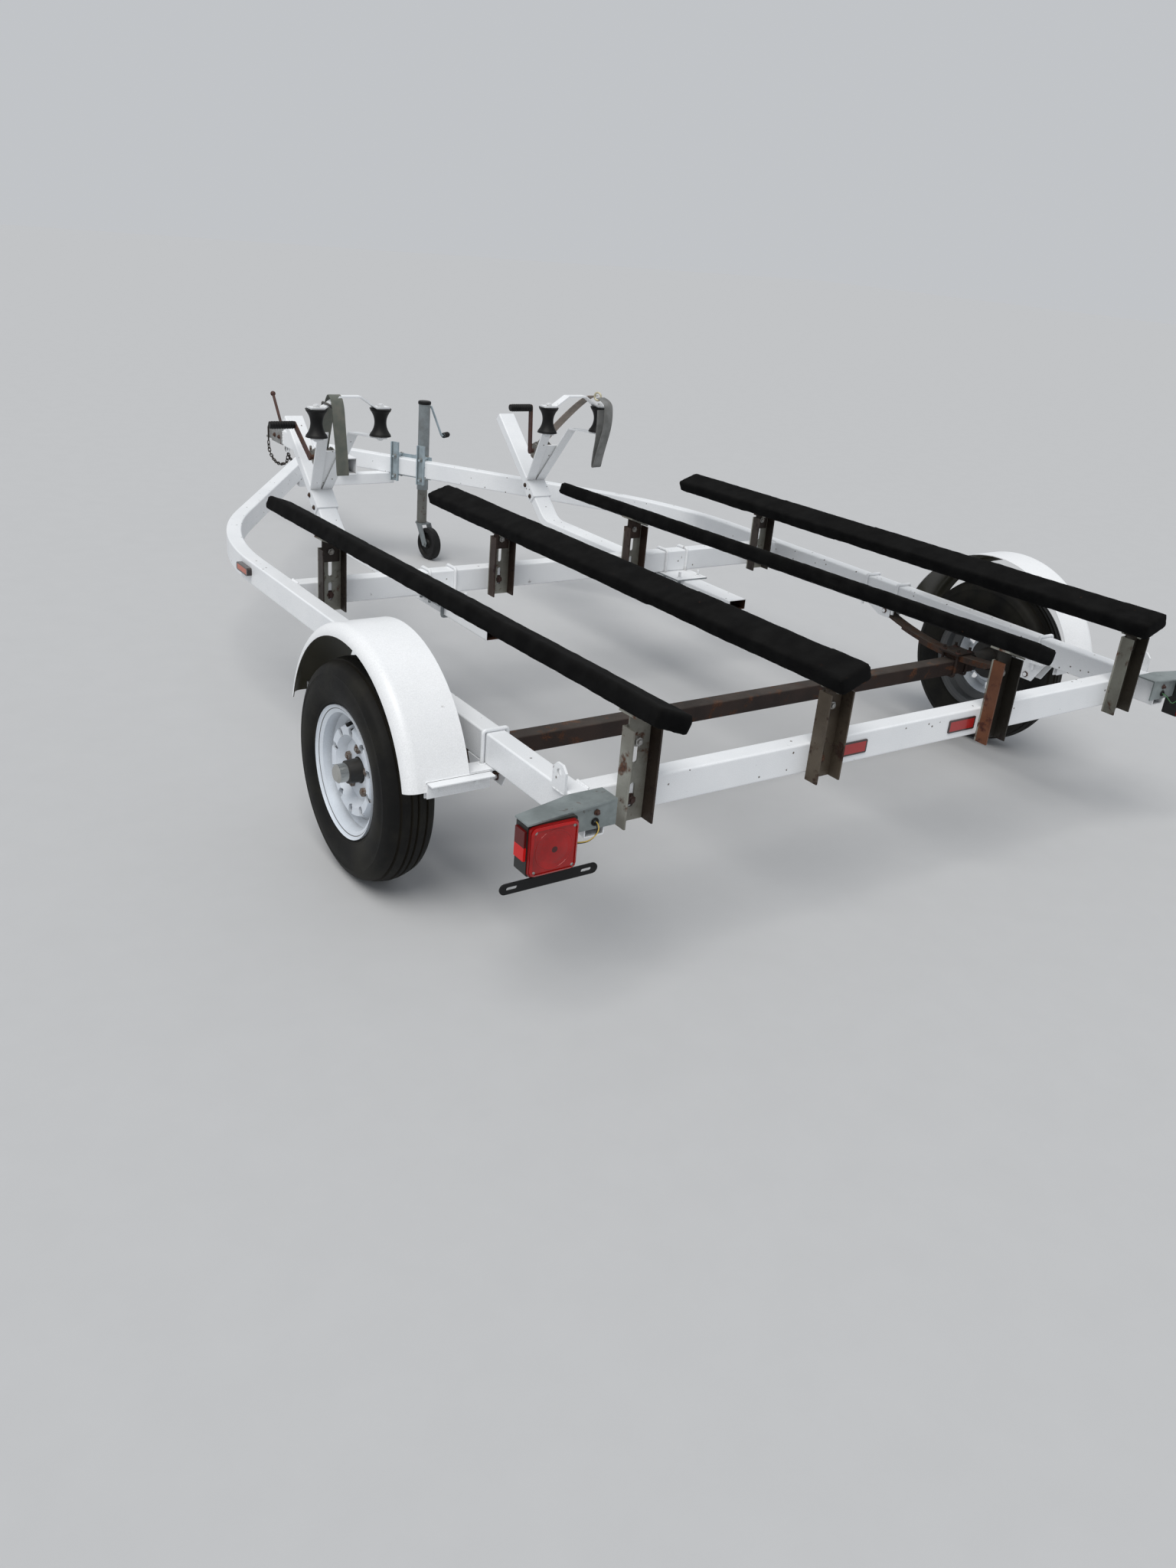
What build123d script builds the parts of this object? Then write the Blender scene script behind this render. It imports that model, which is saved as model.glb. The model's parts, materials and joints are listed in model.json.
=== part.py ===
from build123d import *
from math import cos, pi, radians, sin, sqrt, tan
import os

# Double personal watercraft trailer. Millimetres, X to the right, Y forward to the coupler, Z up from the ground.
# Every y below is measured from the rear face of the rear cross member. The finished pieces are then moved along Y
# so that the origin is on the ground, under the middle of the whole trailer.

# Frame
rail_half_width = 1035.0        # from the middle to the outer face of a side rail
rail_width = 50.8
rail_height = 76.2
rail_wall = 3.2
tube_corner = 5.0
frame_top = 484.0
rail_rear_overhang = 64.0
rail_bend_start = 1912.0
rail_bend_radius = 1224.6       # to the middle of the tube
rail_bend_angle = 32.5
rear_cross_y = 0.0
mid_cross_y = 1610.0
front_cross_y = 3480.0
front_cross_reach = 14.0        # how far the front cross member passes the rails' middle lines
front_cross_height = 50.8
tongue_size = 76.2
tongue_wall = 4.8
tongue_rear_y = 3462.0
tongue_front_y = 4330.0

# Coupler
coupler_plate = 5.0
coupler_rear_y = 4190.0
coupler_ball_y = 4408.0
coupler_nose_y = 4450.0
coupler_ball_z = 432.0
ball_socket_radius = 25.6
coupler_head_radius = 36.0

# Bow stands
mast_x = 488.0
mast_width = 76.2
mast_depth = 38.1
mast_wall = 3.0
mast_tail_y = 1240.0
mast_slope = 41.4               # rise of the post above the floor, degrees
mast_bend_radius = 120.0
mast_top_y = 2903.0             # middle of the post's open top end
mast_top_z = 757.0
clamp_plate = 6.0

# Bow rollers
roller_y = 2360.0
roller_offset = 124.0           # from the middle of the mast to each roller's axis
roller_bottom_z = 784.0
roller_height = 98.0
roller_end_radius = 40.0
roller_waist_radius = 22.0
roller_pin_radius = 8.0
roller_bore_radius = 8.5
arm_width = 42.0
arm_plate = 6.0
arm_foot_y = 2626.0             # where the arms leave the post's upper face
arm_top_y = 2458.0              # where they fold over into the tabs under the rollers
arm_top_half = 80.0             # from the mast's middle to the outer edge of an arm, at its top

# Wheels
axle_y = 678.0
wheel_z = 284.0                 # also the radius of the tyre
wheel_gap = 152.0               # from a rail's outer face to the middle of its wheel
wheel_middle_x = rail_half_width + wheel_gap
tyre_width = 136.0
rim_flange_radius = 169.5
rim_seat_radius = 152.4
rim_width = 118.0
lug_circle_radius = 57.15
axle_size = 50.8
spindle_radius = 16.0

# Fenders
fender_middle_y = 657.0
fender_middle_z = 300.0
fender_radius = 360.0
fender_lip_radius = 330.0
fender_inner_x = wheel_middle_x - 92
fender_outer_x = wheel_middle_x + 65
fender_sheet = 2.5
fender_end_angle = 13.5         # above the level through its middle, front and rear

# Bunks
bunk_width = 96.0
bunk_thickness = 45.0
bunk_length = 2150.0
bunk_tilt = 20.0
bunk_rear_z = 663.0             # middle of the board over the rear posts
bunk_front_z = 636.0
post_width = 78.0
post_depth = 40.0
post_wall = 4.5
post_bottom_z = 390.0

# Jack
jack_leg_y = 3404.0             # where the jack's axis stands, along the right front leg
jack_offset = 85.0              # from the leg's outer face to the jack's axis
jack_tube_radius = 27.0
jack_leg_radius = 23.6
jack_top_z = 730.0
jack_tube_bottom_z = 326.0
caster_radius = 76.0
caster_width = 42.0
caster_trail = 68.0
caster_heading = 8.0            # degrees from straight back towards the right

rail_middle_x = rail_half_width - rail_width / 2
frame_middle_z = frame_top - rail_height / 2
frame_bottom = frame_top - rail_height
bunk_rear_overhang = 125.0
bunk_corner = 0.946             # how far a tilted board's rear corner passes its middle line's end
model_rear_y = -bunk_rear_overhang - bunk_corner
shift_y = -(model_rear_y + coupler_nose_y) / 2

os.makedirs("parts", exist_ok=True)


def save(name, shape):
    """Writes one piece after moving it to the finished frame."""
    export_step(Location((0, shift_y, 0)) * shape, f"parts/{name}.step")


def both_sides(shape):
    """The piece on the right and its mirror image on the left, as one node."""
    return Compound(children=[shape, mirror(shape, about=Plane.YZ)])


def tube_section(width, height, wall):
    """A rounded rectangular tube's cut face."""
    inner_corner = max(tube_corner - wall, 1.0)
    outer = RectangleRounded(width, height, tube_corner)
    return outer - RectangleRounded(width - 2 * wall, height - 2 * wall, inner_corner)


def tube_along(path, width, height, wall, side=(1, 0, 0)):
    """A rectangular tube swept along a path, its width lying along the given side direction."""
    start = Plane(origin=path @ 0, x_dir=side, z_dir=path % 0)
    return sweep(start * tube_section(width, height, wall), path=path)


def cross_tube(y, half_length, width, height, wall, top):
    """A straight tube from side to side, its rear face at y."""
    start = Plane(origin=(-half_length, y + width / 2, top - height / 2), x_dir=(0, 1, 0), z_dir=(1, 0, 0))
    return extrude(start * tube_section(width, height, wall), 2 * half_length)


def block(x0, x1, y0, y1, z0, z1):
    """A block given by its six faces."""
    return Pos((x0 + x1) / 2, (y0 + y1) / 2, (z0 + z1) / 2) * Box(x1 - x0, y1 - y0, z1 - z0)


def rod(start, end, radius):
    """A round bar between two points."""
    a = Vector(*start)
    b = Vector(*end)
    return extrude(Plane(origin=a, z_dir=(b - a)) * Circle(radius), (b - a).length)


def bent_rod(points, radius, bend):
    """A round bar along straight runs joined by arcs."""
    path = FilletPolyline(*points, radius=bend)
    return sweep(Plane(origin=path @ 0, z_dir=path % 0) * Circle(radius), path=path)


def turned(points, x, y, z):
    """A piece turned about the wheel axis: its outline is given as (distance along X, radius)."""
    outline = make_face(Polyline(*[(p[0], p[1], 0) for p in points], close=True))
    return Pos(x, y, z) * revolve(outline, axis=Axis.X)


# Side rails
def rail():
    straight = Line((rail_middle_x, -rail_rear_overhang), (rail_middle_x, rail_bend_start))
    bend = JernArc(start=straight @ 1, tangent=straight % 1, radius=rail_bend_radius, arc_size=rail_bend_angle)
    reach = (bend @ 1).X / sin(radians(rail_bend_angle))
    leg = Line(bend @ 1, bend @ 1 + (bend % 1) * reach)
    path = Pos(0, 0, frame_middle_z) * Wire([straight, bend, leg])
    tube = tube_along(path, rail_width, rail_height, rail_wall)
    return tube - block(-400, tongue_size / 2, 3000, 5000, 0, 1000)


# The legs run straight from the bend to the tongue. These give any point on the outer face of the right leg.
leg_turn = radians(rail_bend_angle)
leg_start_x = rail_middle_x - rail_bend_radius * (1 - cos(leg_turn))
leg_start_y = rail_bend_start + rail_bend_radius * sin(leg_turn)
leg_along = Vector(-sin(leg_turn), cos(leg_turn), 0)
leg_out = Vector(cos(leg_turn), sin(leg_turn), 0)


def leg_point(y, out):
    """A point beside the right leg's middle line at the given y, moved out square to the leg."""
    run = (y - leg_start_y) / cos(leg_turn)
    return Vector(leg_start_x, leg_start_y, 0) + leg_along * run + leg_out * out


right_rail = rail()
save("rail_right", right_rail)
save("rail_left", mirror(right_rail, about=Plane.YZ))

# Cross members and tongue
inner_half = rail_half_width - rail_width
save("rear_cross_member", cross_tube(rear_cross_y, inner_half, rail_width, rail_height, rail_wall, frame_top))
save("mid_cross_member", cross_tube(mid_cross_y, inner_half, rail_width, rail_height, rail_wall, frame_top))
front_cross_half = leg_point(front_cross_y + rail_width / 2, 0).X + front_cross_reach
save("front_cross_member",
     cross_tube(front_cross_y, front_cross_half, rail_width, front_cross_height, rail_wall, frame_bottom))
tongue_start = Plane(origin=(0, tongue_rear_y, frame_middle_z), x_dir=(1, 0, 0), z_dir=(0, 1, 0))
tongue_length = tongue_front_y - tongue_rear_y
tongue = extrude(tongue_start * tube_section(tongue_size, tongue_size, tongue_wall), tongue_length)
# Two eyes for the safety chains, welded under the tongue behind the coupler
eye_wire = 5.0
eye_z = frame_bottom - 23
for x in (-24, 24):
    eye = [(x, 4150, frame_bottom + 2), (x, 4150, eye_z), (x, 4180, eye_z), (x, 4180, frame_bottom + 2)]
    tongue = tongue + bent_rod(eye, eye_wire, 8)
save("tongue", tongue)

# Tie-down lugs on the outer top edge of each rail
lug_width = 50.0
lug_height = 54.0
lug_plate = 6.0
lug_y = 10.0


def lug():
    plate = Plane(origin=(rail_half_width, lug_y, frame_top - 8), x_dir=(0, 1, 0), z_dir=(1, 0, 0))
    outline = Pos(lug_width / 2, (lug_height + 8) / 2) * Rectangle(lug_width, lug_height + 8)
    outline = chamfer(outline.vertices().group_by(Axis.Y)[-1], 14)
    hole = Pos(lug_width / 2, lug_height - 12) * Circle(9)
    return extrude(plate * (outline - hole), lug_plate)


save("tie_down_lugs", both_sides(lug()))


# Coupler: a folded steel sleeve over the tongue, drawn in to a round head with the ball socket below
def coupler():
    half = tongue_size / 2
    outer = block(-half - coupler_plate, half + coupler_plate, coupler_rear_y, tongue_front_y + 6,
                  frame_bottom + 4, frame_top + coupler_plate)
    sleeve = outer - block(-half, half, coupler_rear_y - 1, tongue_front_y, 0, frame_top)
    wide = Plane(origin=(0, tongue_front_y + 6, (frame_bottom + frame_top) / 2 + 4), z_dir=(0, 1, 0),
                 x_dir=(1, 0, 0)) * RectangleRounded(2 * half + 2 * coupler_plate, 77, 6)
    narrow = Plane(origin=(0, coupler_ball_y - 6, coupler_ball_z + 12), z_dir=(0, 1, 0),
                   x_dir=(1, 0, 0)) * RectangleRounded(62, 48, 10)
    neck = loft([wide, narrow])
    head = Pos(0, coupler_ball_y, coupler_ball_z - 14) * Cylinder(
        coupler_head_radius, 40, align=(Align.CENTER, Align.CENTER, Align.MIN))
    dome = Pos(0, coupler_ball_y, coupler_ball_z + 26) * Sphere(coupler_head_radius)
    dome = dome & block(-60, 60, coupler_ball_y - 60, coupler_ball_y + 60, coupler_ball_z + 20, coupler_ball_z + 46)
    flange = Pos(0, coupler_ball_y, coupler_ball_z - 18) * Cylinder(
        coupler_nose_y - coupler_ball_y, 6, align=(Align.CENTER, Align.CENTER, Align.MIN))
    body = sleeve + neck + head + dome + flange
    socket = Pos(0, coupler_ball_y, coupler_ball_z) * Sphere(ball_socket_radius)
    mouth = Pos(0, coupler_ball_y, coupler_ball_z - 60) * Cylinder(
        ball_socket_radius, 60, align=(Align.CENTER, Align.CENTER, Align.MIN))
    return body - socket - mouth


save("coupler", coupler())
latch_foot_z = frame_top + coupler_plate
latch = bent_rod([(0, coupler_rear_y + 60, latch_foot_z + 7), (0, coupler_rear_y + 125, latch_foot_z + 9),
                  (0, coupler_rear_y + 225, latch_foot_z + 135)], 7, 30)
latch_knob = Pos(0, coupler_rear_y + 229, latch_foot_z + 140) * Sphere(13)
save("coupler_latch", latch + latch_knob)

# Bow stands
post_direction = Vector(0, cos(radians(mast_slope)), sin(radians(mast_slope)))
post_normal = Vector(0, -sin(radians(mast_slope)), cos(radians(mast_slope)))
mast_run_z = frame_bottom - clamp_plate - mast_depth / 2
mast_knee_y = mast_top_y - (mast_top_z - mast_run_z) / tan(radians(mast_slope))


def mast():
    path = FilletPolyline((mast_x, mast_tail_y, mast_run_z), (mast_x, mast_knee_y, mast_run_z),
                          (mast_x, mast_top_y, mast_top_z), radius=mast_bend_radius)
    return tube_along(path, mast_width, mast_depth, mast_wall)


save("masts", both_sides(mast()))


def u_bolt(x, y0, y1, z_top, z_bottom, radius):
    """A round bolt bent over a tube that lies along X, its legs down on both sides."""
    points = [(x, y0, z_bottom), (x, y0, z_top), (x, y1, z_top), (x, y1, z_bottom)]
    return bent_rod(points, radius, 10)


bolt_radius = 5.0
clamp_rear = 110.0              # how far the clamp plate reaches behind the cross member


def mast_clamp():
    plate = block(mast_x - 68, mast_x + 68, mid_cross_y - clamp_rear, mid_cross_y + rail_width + 22,
                  frame_bottom - clamp_plate, frame_bottom)
    parts = [plate]
    for side in (-1, 1):
        x = mast_x + side * (mast_width / 2 + bolt_radius + 4)
        loop = u_bolt(x, mid_cross_y - bolt_radius, mid_cross_y + rail_width + bolt_radius,
                      frame_top + bolt_radius, frame_bottom - 24, bolt_radius)
        parts.append(loop)
    low = mast_run_z - mast_depth / 2 - bolt_radius
    y = mid_cross_y - clamp_rear + 24
    left = mast_x - mast_width / 2 - bolt_radius
    right = mast_x + mast_width / 2 + bolt_radius
    parts.append(bent_rod([(left, y, frame_bottom + 22), (left, y, low), (right, y, low),
                           (right, y, frame_bottom + 22)], bolt_radius, 8))
    shape = parts[0]
    for piece in parts[1:]:
        shape = shape + piece
    return shape


save("mast_clamps", both_sides(mast_clamp()))

# Bow bracket: a channel over the post, two flat arms that lean back and spread, a web between them for the winch,
# and a level tab under each roller


def post_point(x, y, lift):
    """A point over the post's middle line at the given y, lifted square to the post."""
    z = mast_top_z - (mast_top_y - y) * tan(radians(mast_slope))
    return Vector(x, y, z) + post_normal * lift


tab_z = roller_bottom_z - 1.0
arm_foot_z = post_point(0, arm_foot_y, 0).Z + mast_depth / 2 / cos(radians(mast_slope))
arm_foot = Vector(mast_x, arm_foot_y, arm_foot_z)
arm_run = Vector(0, arm_top_y - arm_foot_y, tab_z - arm_foot_z)
arm_length = arm_run.length
arm_foot_half = mast_width / 2 + arm_plate
web_plate = 4.0
web_length = 200.0
channel_half = 48.0
# The arms' plane: its X points left, its Y runs up the arms, and its Z points forward to the winch.
arm_plane = Plane(origin=arm_foot, x_dir=(-1, 0, 0), z_dir=arm_run.cross(Vector(1, 0, 0)))


def arm_edge(run):
    """Half the spread between the arms' outer edges, at the given distance up the arms."""
    return arm_foot_half + (arm_top_half - arm_foot_half) * run / arm_length


def bow_bracket():
    middle = post_point(mast_x, arm_foot_y - 18, 0)
    across = Plane(origin=middle, x_dir=(-1, 0, 0), z_dir=post_direction)
    outside = mast_width + 2 * arm_plate
    channel = across * (Pos(0, arm_plate / 2) * Rectangle(outside, mast_depth + arm_plate))
    shape = extrude(channel, channel_half, both=True)
    shape = shape - extrude(across * Rectangle(mast_width, mast_depth), 2 * channel_half, both=True)
    for side in (-1, 1):
        foot = side * arm_foot_half
        top = side * arm_top_half
        arm = Polyline((foot, 0), (top, arm_length), (top - side * arm_width, arm_length),
                       (foot - side * arm_width, 0), close=True)
        shape = shape + extrude(arm_plane * make_face(arm), arm_plate, dir=-arm_plane.z_dir)
        rear = roller_y - 26
        tab = Polyline((mast_x + top, arm_top_y), (mast_x + top - side * arm_width, arm_top_y),
                       (mast_x + side * (roller_offset - 26), roller_y - 6),
                       (mast_x + side * (roller_offset - 16), rear), (mast_x + side * (roller_offset + 16), rear),
                       (mast_x + side * (roller_offset + 26), roller_y - 6), close=True)
        tab = extrude(Plane.XY.offset(tab_z - arm_plate) * make_face(tab), arm_plate, dir=(0, 0, 1))
        shape = shape + tab
    web = Polyline((-arm_foot_half + 4, 6), (-arm_edge(web_length) + 4, web_length),
                   (arm_edge(web_length) - 4, web_length), (arm_foot_half - 4, 6), close=True)
    shape = shape + extrude(arm_plane * make_face(web), web_plate, dir=arm_plane.z_dir)
    for side in (-1, 1):
        x = mast_x + side * roller_offset
        shape = shape - rod((x, roller_y, tab_z - 20), (x, roller_y, tab_z + 5), roller_pin_radius)
    return shape


def bow_arch():
    top = roller_bottom_z + roller_height + 1.0
    profile = [(-roller_offset - 28, top), (-roller_offset + 24, top), (-42, top + 38), (42, top + 38),
               (roller_offset - 24, top), (roller_offset + 28, top)]
    upper = [(x, z + arm_plate) for x, z in profile]
    face = make_face(Polyline(*(profile + upper[::-1]), close=True))
    plane = Plane(origin=(mast_x, roller_y + 20, 0), x_dir=(1, 0, 0), z_dir=(0, -1, 0))
    shape = extrude(plane * face, 40)
    for side in (-1, 1):
        x = mast_x + side * roller_offset
        pin = rod((x, roller_y, tab_z - arm_plate - 9), (x, roller_y, top + arm_plate + 9), roller_pin_radius)
        shape = shape + pin
        for z in (top + arm_plate, tab_z - arm_plate - 7):
            shape = shape + Pos(x, roller_y, z) * extrude(RegularPolygon(12, 6), 7)
    return shape


save("bow_brackets", both_sides(bow_bracket()))
save("bow_arches", both_sides(bow_arch()))


def bow_roller(x):
    """An hourglass roller: two cones that meet in a round waist, bored for its pin."""
    half = roller_height / 2
    curve = ThreePointArc((roller_end_radius - 3, half - 8), (roller_waist_radius, 0), (roller_end_radius - 3, 8 - half))
    edges = [Line((roller_bore_radius, half), (roller_end_radius, half)),
             Line((roller_end_radius, half), (roller_end_radius - 3, half - 8)), curve,
             Line((roller_end_radius - 3, 8 - half), (roller_end_radius, -half)),
             Line((roller_end_radius, -half), (roller_bore_radius, -half)),
             Line((roller_bore_radius, -half), (roller_bore_radius, half))]
    face = make_face(edges)
    turned_face = Plane.XZ * face
    return Pos(x, roller_y, roller_bottom_z + half) * revolve(turned_face, axis=Axis.Z)


for name, x in (("bow_roller_1", -mast_x - roller_offset), ("bow_roller_2", -mast_x + roller_offset),
                ("bow_roller_3", mast_x - roller_offset), ("bow_roller_4", mast_x + roller_offset)):
    save(name, bow_roller(x))

# Winches: two side plates on a base against the web, a drum between them, and a crank on the left
winch_plate = 3.5
winch_half = 36.0
drum_radius = 20.0
shaft_run = 132.0               # up the arms from their foot
shaft_lift = 40.0               # forward of the arms' plane
winch_size = 84.0
crank_length = 175.0
crank_reach = 24.0              # how far the crank arm stands off the winch
crank_bar = 24.0
grip_radius = 13.0
grip_length = 100.0


def winch_axis(side):
    """The middle of the drum's axis, on the right for side 1 and on the left for side -1."""
    axis = arm_plane.from_local_coords((0, shaft_run, shaft_lift))
    return Vector(side * mast_x, axis.Y, axis.Z)


def winch(side):
    base = Plane(origin=winch_axis(side), x_dir=(-1, 0, 0), z_dir=arm_plane.z_dir)
    behind = web_plate - shaft_lift
    plate = base.offset(behind) * Rectangle(2 * winch_half, winch_size)
    shape = extrude(plate, winch_plate)
    for wall_side in (-1, 1):
        wall = Plane(origin=winch_axis(side) + Vector(wall_side * (winch_half - winch_plate / 2), 0, 0),
                     x_dir=arm_plane.y_dir, z_dir=(-1, 0, 0))
        cheek = Polyline((-winch_size / 2, behind), (winch_size / 2, behind), (22, 26), (-22, 26), close=True)
        flip = 1 if wall.y_dir.dot(arm_plane.z_dir) > 0 else -1
        cheek = scale(make_face(cheek), by=(1, flip, 1))
        shape = shape + extrude(wall * cheek, winch_plate / 2, both=True)
    axis = winch_axis(side)
    return shape + rod(axis - Vector(winch_half, 0, 0), axis + Vector(winch_half, 0, 0), drum_radius)


def winch_crank(side, angle):
    """Crank arm on the winch's left, turned up by the given angle, with its hand grip pointing left."""
    axis = winch_axis(side)
    arm_at = axis - Vector(winch_half + crank_reach, 0, 0)
    along = Vector(0, cos(radians(angle)), sin(radians(angle)))
    tip = arm_at + along * crank_length
    bar = Plane(origin=(arm_at + tip) / 2, x_dir=along, z_dir=(1, 0, 0))
    shape = rod(axis - Vector(winch_half + 0.2, 0, 0), arm_at, 9)
    shape = shape + extrude(bar * SlotOverall(crank_length + crank_bar, crank_bar), 3, both=True)
    return shape + rod(tip, tip - Vector(grip_length, 0, 0), grip_radius)


# Columns: side of the trailer, angle of the crank arm above the level.
crank_table = [(-1, 33.0), (1, 86.0)]
save("winches", Compound(children=[winch(side) for side, angle in crank_table]))
save("winch_cranks", Compound(children=[winch_crank(side, angle) for side, angle in crank_table]))

# Winch straps: a roll of webbing on each drum, and the webbing that runs up over the arch. The left one hangs down
# in a loop and comes back to its hook. The right one ends in a ring, and its slack hangs from the ring in a loop.
strap_width = 46.0
strap_thickness = 3.0
roll_radius = 30.0
drum_y = winch_axis(1).Y
drum_z = winch_axis(1).Z
hook_wire = 4.0


def cord_path(name, points, folds):
    """Straight runs joined by arcs, each as large as its two runs allow unless folds gives it by its number."""
    corners = [Vector(*point) for point in points]
    radii = []
    for index in range(1, len(corners) - 1):
        before = corners[index] - corners[index - 1]
        after = corners[index + 1] - corners[index]
        turn = radians(before.get_angle(after))
        largest = 0.45 * min(before.length, after.length) / tan(turn / 2)
        radii.append(folds.get(index, largest))
    print(name, "radii", [round(radius) for radius in radii])
    return FilletPolyline(*points, radius=radii)


def strap(name, points, folds, width_along):
    """A flat strap along its path, its width lying along the given direction where it starts."""
    path = cord_path(name, points, folds)
    section = Plane(origin=path @ 0, x_dir=width_along, z_dir=path % 0) * Rectangle(strap_width, strap_thickness)
    save(name, sweep(section, path=path))


def strap_roll(side):
    """The webbing that is wound on one drum."""
    axis = winch_axis(side)
    half = Vector(strap_width / 2, 0, 0)
    return rod(axis - half, axis + half, roll_radius) - rod(axis - half * 2, axis + half * 2, drum_radius)


save("strap_rolls", Compound(children=[strap_roll(-1), strap_roll(1)]))

# Where each strap leaves the top of its roll, on the side that faces the coupler
strap_start_y = drum_y + 0.733 * (roll_radius + strap_thickness / 2 + 0.2)
strap_start_z = drum_z + 0.68 * (roll_radius + strap_thickness / 2 + 0.2)
left_strap_points = [
    (-mast_x, strap_start_y, strap_start_z), (-543, 2396, 934), (-546, 2326, 926), (-540, 2318, 800),
    (-526, 2322, 652), (-522, 2340, 650), (-528, 2336, 760), (-542, 2334, 866),
]
strap("strap_left", left_strap_points, {1: 30, 2: 16, 4: 8, 5: 8}, (1, 0, 0))
right_strap_points = [(mast_x, strap_start_y, strap_start_z), (556, 2396, 928), (571, 2352, 927)]
strap("strap_right", right_strap_points, {1: 30}, (1, 0, 0))

# The right loop hangs in a plane that is turned by this much from straight across
loop_turn = radians(35)
loop_across = Vector(cos(loop_turn), -sin(loop_turn), 0)
loop_width_along = Vector(sin(loop_turn), cos(loop_turn), 0)
loop_middle = Vector(581, 2298, 0)
# Columns: distance along the loop's plane, height.
loop_table = [(-6, 921), (26, 918), (36, 868), (33, 812), (14, 745), (-3, 682), (-7, 652), (-19, 652), (-16, 700),
              (-6, 770), (-4, 830), (-8, 880)]
loop_points = [tuple(loop_middle + loop_across * along + Vector(0, 0, height)) for along, height in loop_table]
strap("strap_loop", loop_points, {1: 14, 6: 5, 7: 5}, loop_width_along)

ring_radius = 15.0
ring_middle = Vector(578.4, 2334, 927)
ring_plane = Plane(origin=ring_middle, x_dir=(0.38, -0.92, 0), z_dir=(0.92, 0.38, 0))
left_hook_points = [(-549, 2334.5, 866.1), (-549, 2334.5, 877), (-577, 2334.5, 901.5), (-577, 2389, 901.5),
                    (-577, 2389, 889)]
left_hook = FilletPolyline(*left_hook_points, radius=[5, 5, 5])
left_hook = sweep(Plane(origin=left_hook @ 0, z_dir=left_hook % 0) * Circle(hook_wire), path=left_hook)
save("strap_hooks", Compound(children=[left_hook, ring_plane.location * Torus(ring_radius, hook_wire)]))

# Safety chains: each hangs from its eye under the tongue and hooks over the coupler's neck
chain_radius = 9.0
chain_points = [(24, 4165, eye_z - eye_wire - 0.2), (24, 4165, 350), (29, 4180, 325), (37, 4222, 309),
                (43, 4272, 308), (46, 4320, 322), (46.5, 4356, 346), (46, 4375, 372), (46, 4375, 399.8)]
chain_hook_points = [(46, 4375, 400), (46, 4375, 481), (8, 4375, 481)]
chain_hooks = []
for name, side in (("chain_left", -1), ("chain_right", 1)):
    path = cord_path(name, [(side * x, y, z) for x, y, z in chain_points], {})
    save(name, sweep(Plane(origin=path @ 0, z_dir=path % 0) * Circle(chain_radius), path=path))
    chain_hooks.append(bent_rod([(side * x, y, z) for x, y, z in chain_hook_points], hook_wire, 12))
save("chain_hooks", Compound(children=chain_hooks))

# Axle, springs and hangers
spring_width = 45.0
leaf_thickness = 6.5
spring_radius = 1100.0
spring_half = 330.0
spring_base_z = wheel_z + axle_size / 2
axle_half = wheel_middle_x - 105


def axle():
    start = Plane(origin=(-axle_half, axle_y, wheel_z), x_dir=(0, 1, 0), z_dir=(1, 0, 0))
    shape = extrude(start * RectangleRounded(axle_size, axle_size, tube_corner), 2 * axle_half)
    tip = wheel_middle_x + 34
    return shape + rod((-tip, axle_y, wheel_z), (tip, axle_y, wheel_z), spindle_radius)


save("axle", axle())


def leaf(bottom_z, half_length):
    """One leaf: a strip bent up to a large radius."""
    centre_z = bottom_z + spring_radius
    half_angle = half_length / spring_radius
    outline = []
    for radius in (spring_radius, spring_radius - leaf_thickness):
        ends = [(axle_y + side * radius * sin(half_angle), centre_z - radius * cos(half_angle)) for side in (-1, 1)]
        outline.append(ThreePointArc(ends[0], (axle_y, centre_z - radius), ends[1]))
    low, high = outline
    face = make_face([low, high, Line(low @ 0, high @ 0), Line(low @ 1, high @ 1)])
    plane = Plane(origin=(rail_middle_x - spring_width / 2, 0, 0), x_dir=(0, 1, 0), z_dir=(1, 0, 0))
    return extrude(plane * face, spring_width)


def spring_end_z(side_half):
    return spring_base_z + 2 * leaf_thickness + spring_radius * (1 - cos(side_half / spring_radius))


eye_radius = 14.0


def leaf_spring():
    shape = leaf(spring_base_z, 150)
    shape = shape + leaf(spring_base_z + leaf_thickness, 240)
    shape = shape + leaf(spring_base_z + 2 * leaf_thickness, spring_half)
    eye_y = axle_y + spring_radius * sin(spring_half / spring_radius)
    eye_z = spring_end_z(spring_half) + eye_radius
    eye = rod((rail_middle_x - spring_width / 2, eye_y, eye_z), (rail_middle_x + spring_width / 2, eye_y, eye_z),
              eye_radius)
    return shape + eye - rod((0, eye_y, eye_z), (3000, eye_y, eye_z), 7)


save("leaf_springs", both_sides(leaf_spring()))


def axle_clamp():
    half_plate = 42.0
    top = spring_end_z(half_plate) + leaf_thickness + 0.2
    plate = block(rail_middle_x - half_plate, rail_middle_x + half_plate, axle_y - half_plate,
                  axle_y + half_plate, top, top + 7)
    shape = plate
    for side in (-1, 1):
        x = rail_middle_x + side * (spring_width / 2 + bolt_radius + 2)
        points = [(x, axle_y - axle_size / 2 - bolt_radius, top + 22),
                  (x, axle_y - axle_size / 2 - bolt_radius, wheel_z - axle_size / 2 - bolt_radius),
                  (x, axle_y + axle_size / 2 + bolt_radius, wheel_z - axle_size / 2 - bolt_radius),
                  (x, axle_y + axle_size / 2 + bolt_radius, top + 22)]
        shape = shape + bent_rod(points, bolt_radius, 8)
    return shape


save("axle_clamps", both_sides(axle_clamp()))

# Wheels: hub with its dust cap, pressed steel rim, tyre
disc_x = 10.0                   # the rim's mounting face, out from the middle of the wheel
rim_sheet = 3.5


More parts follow.
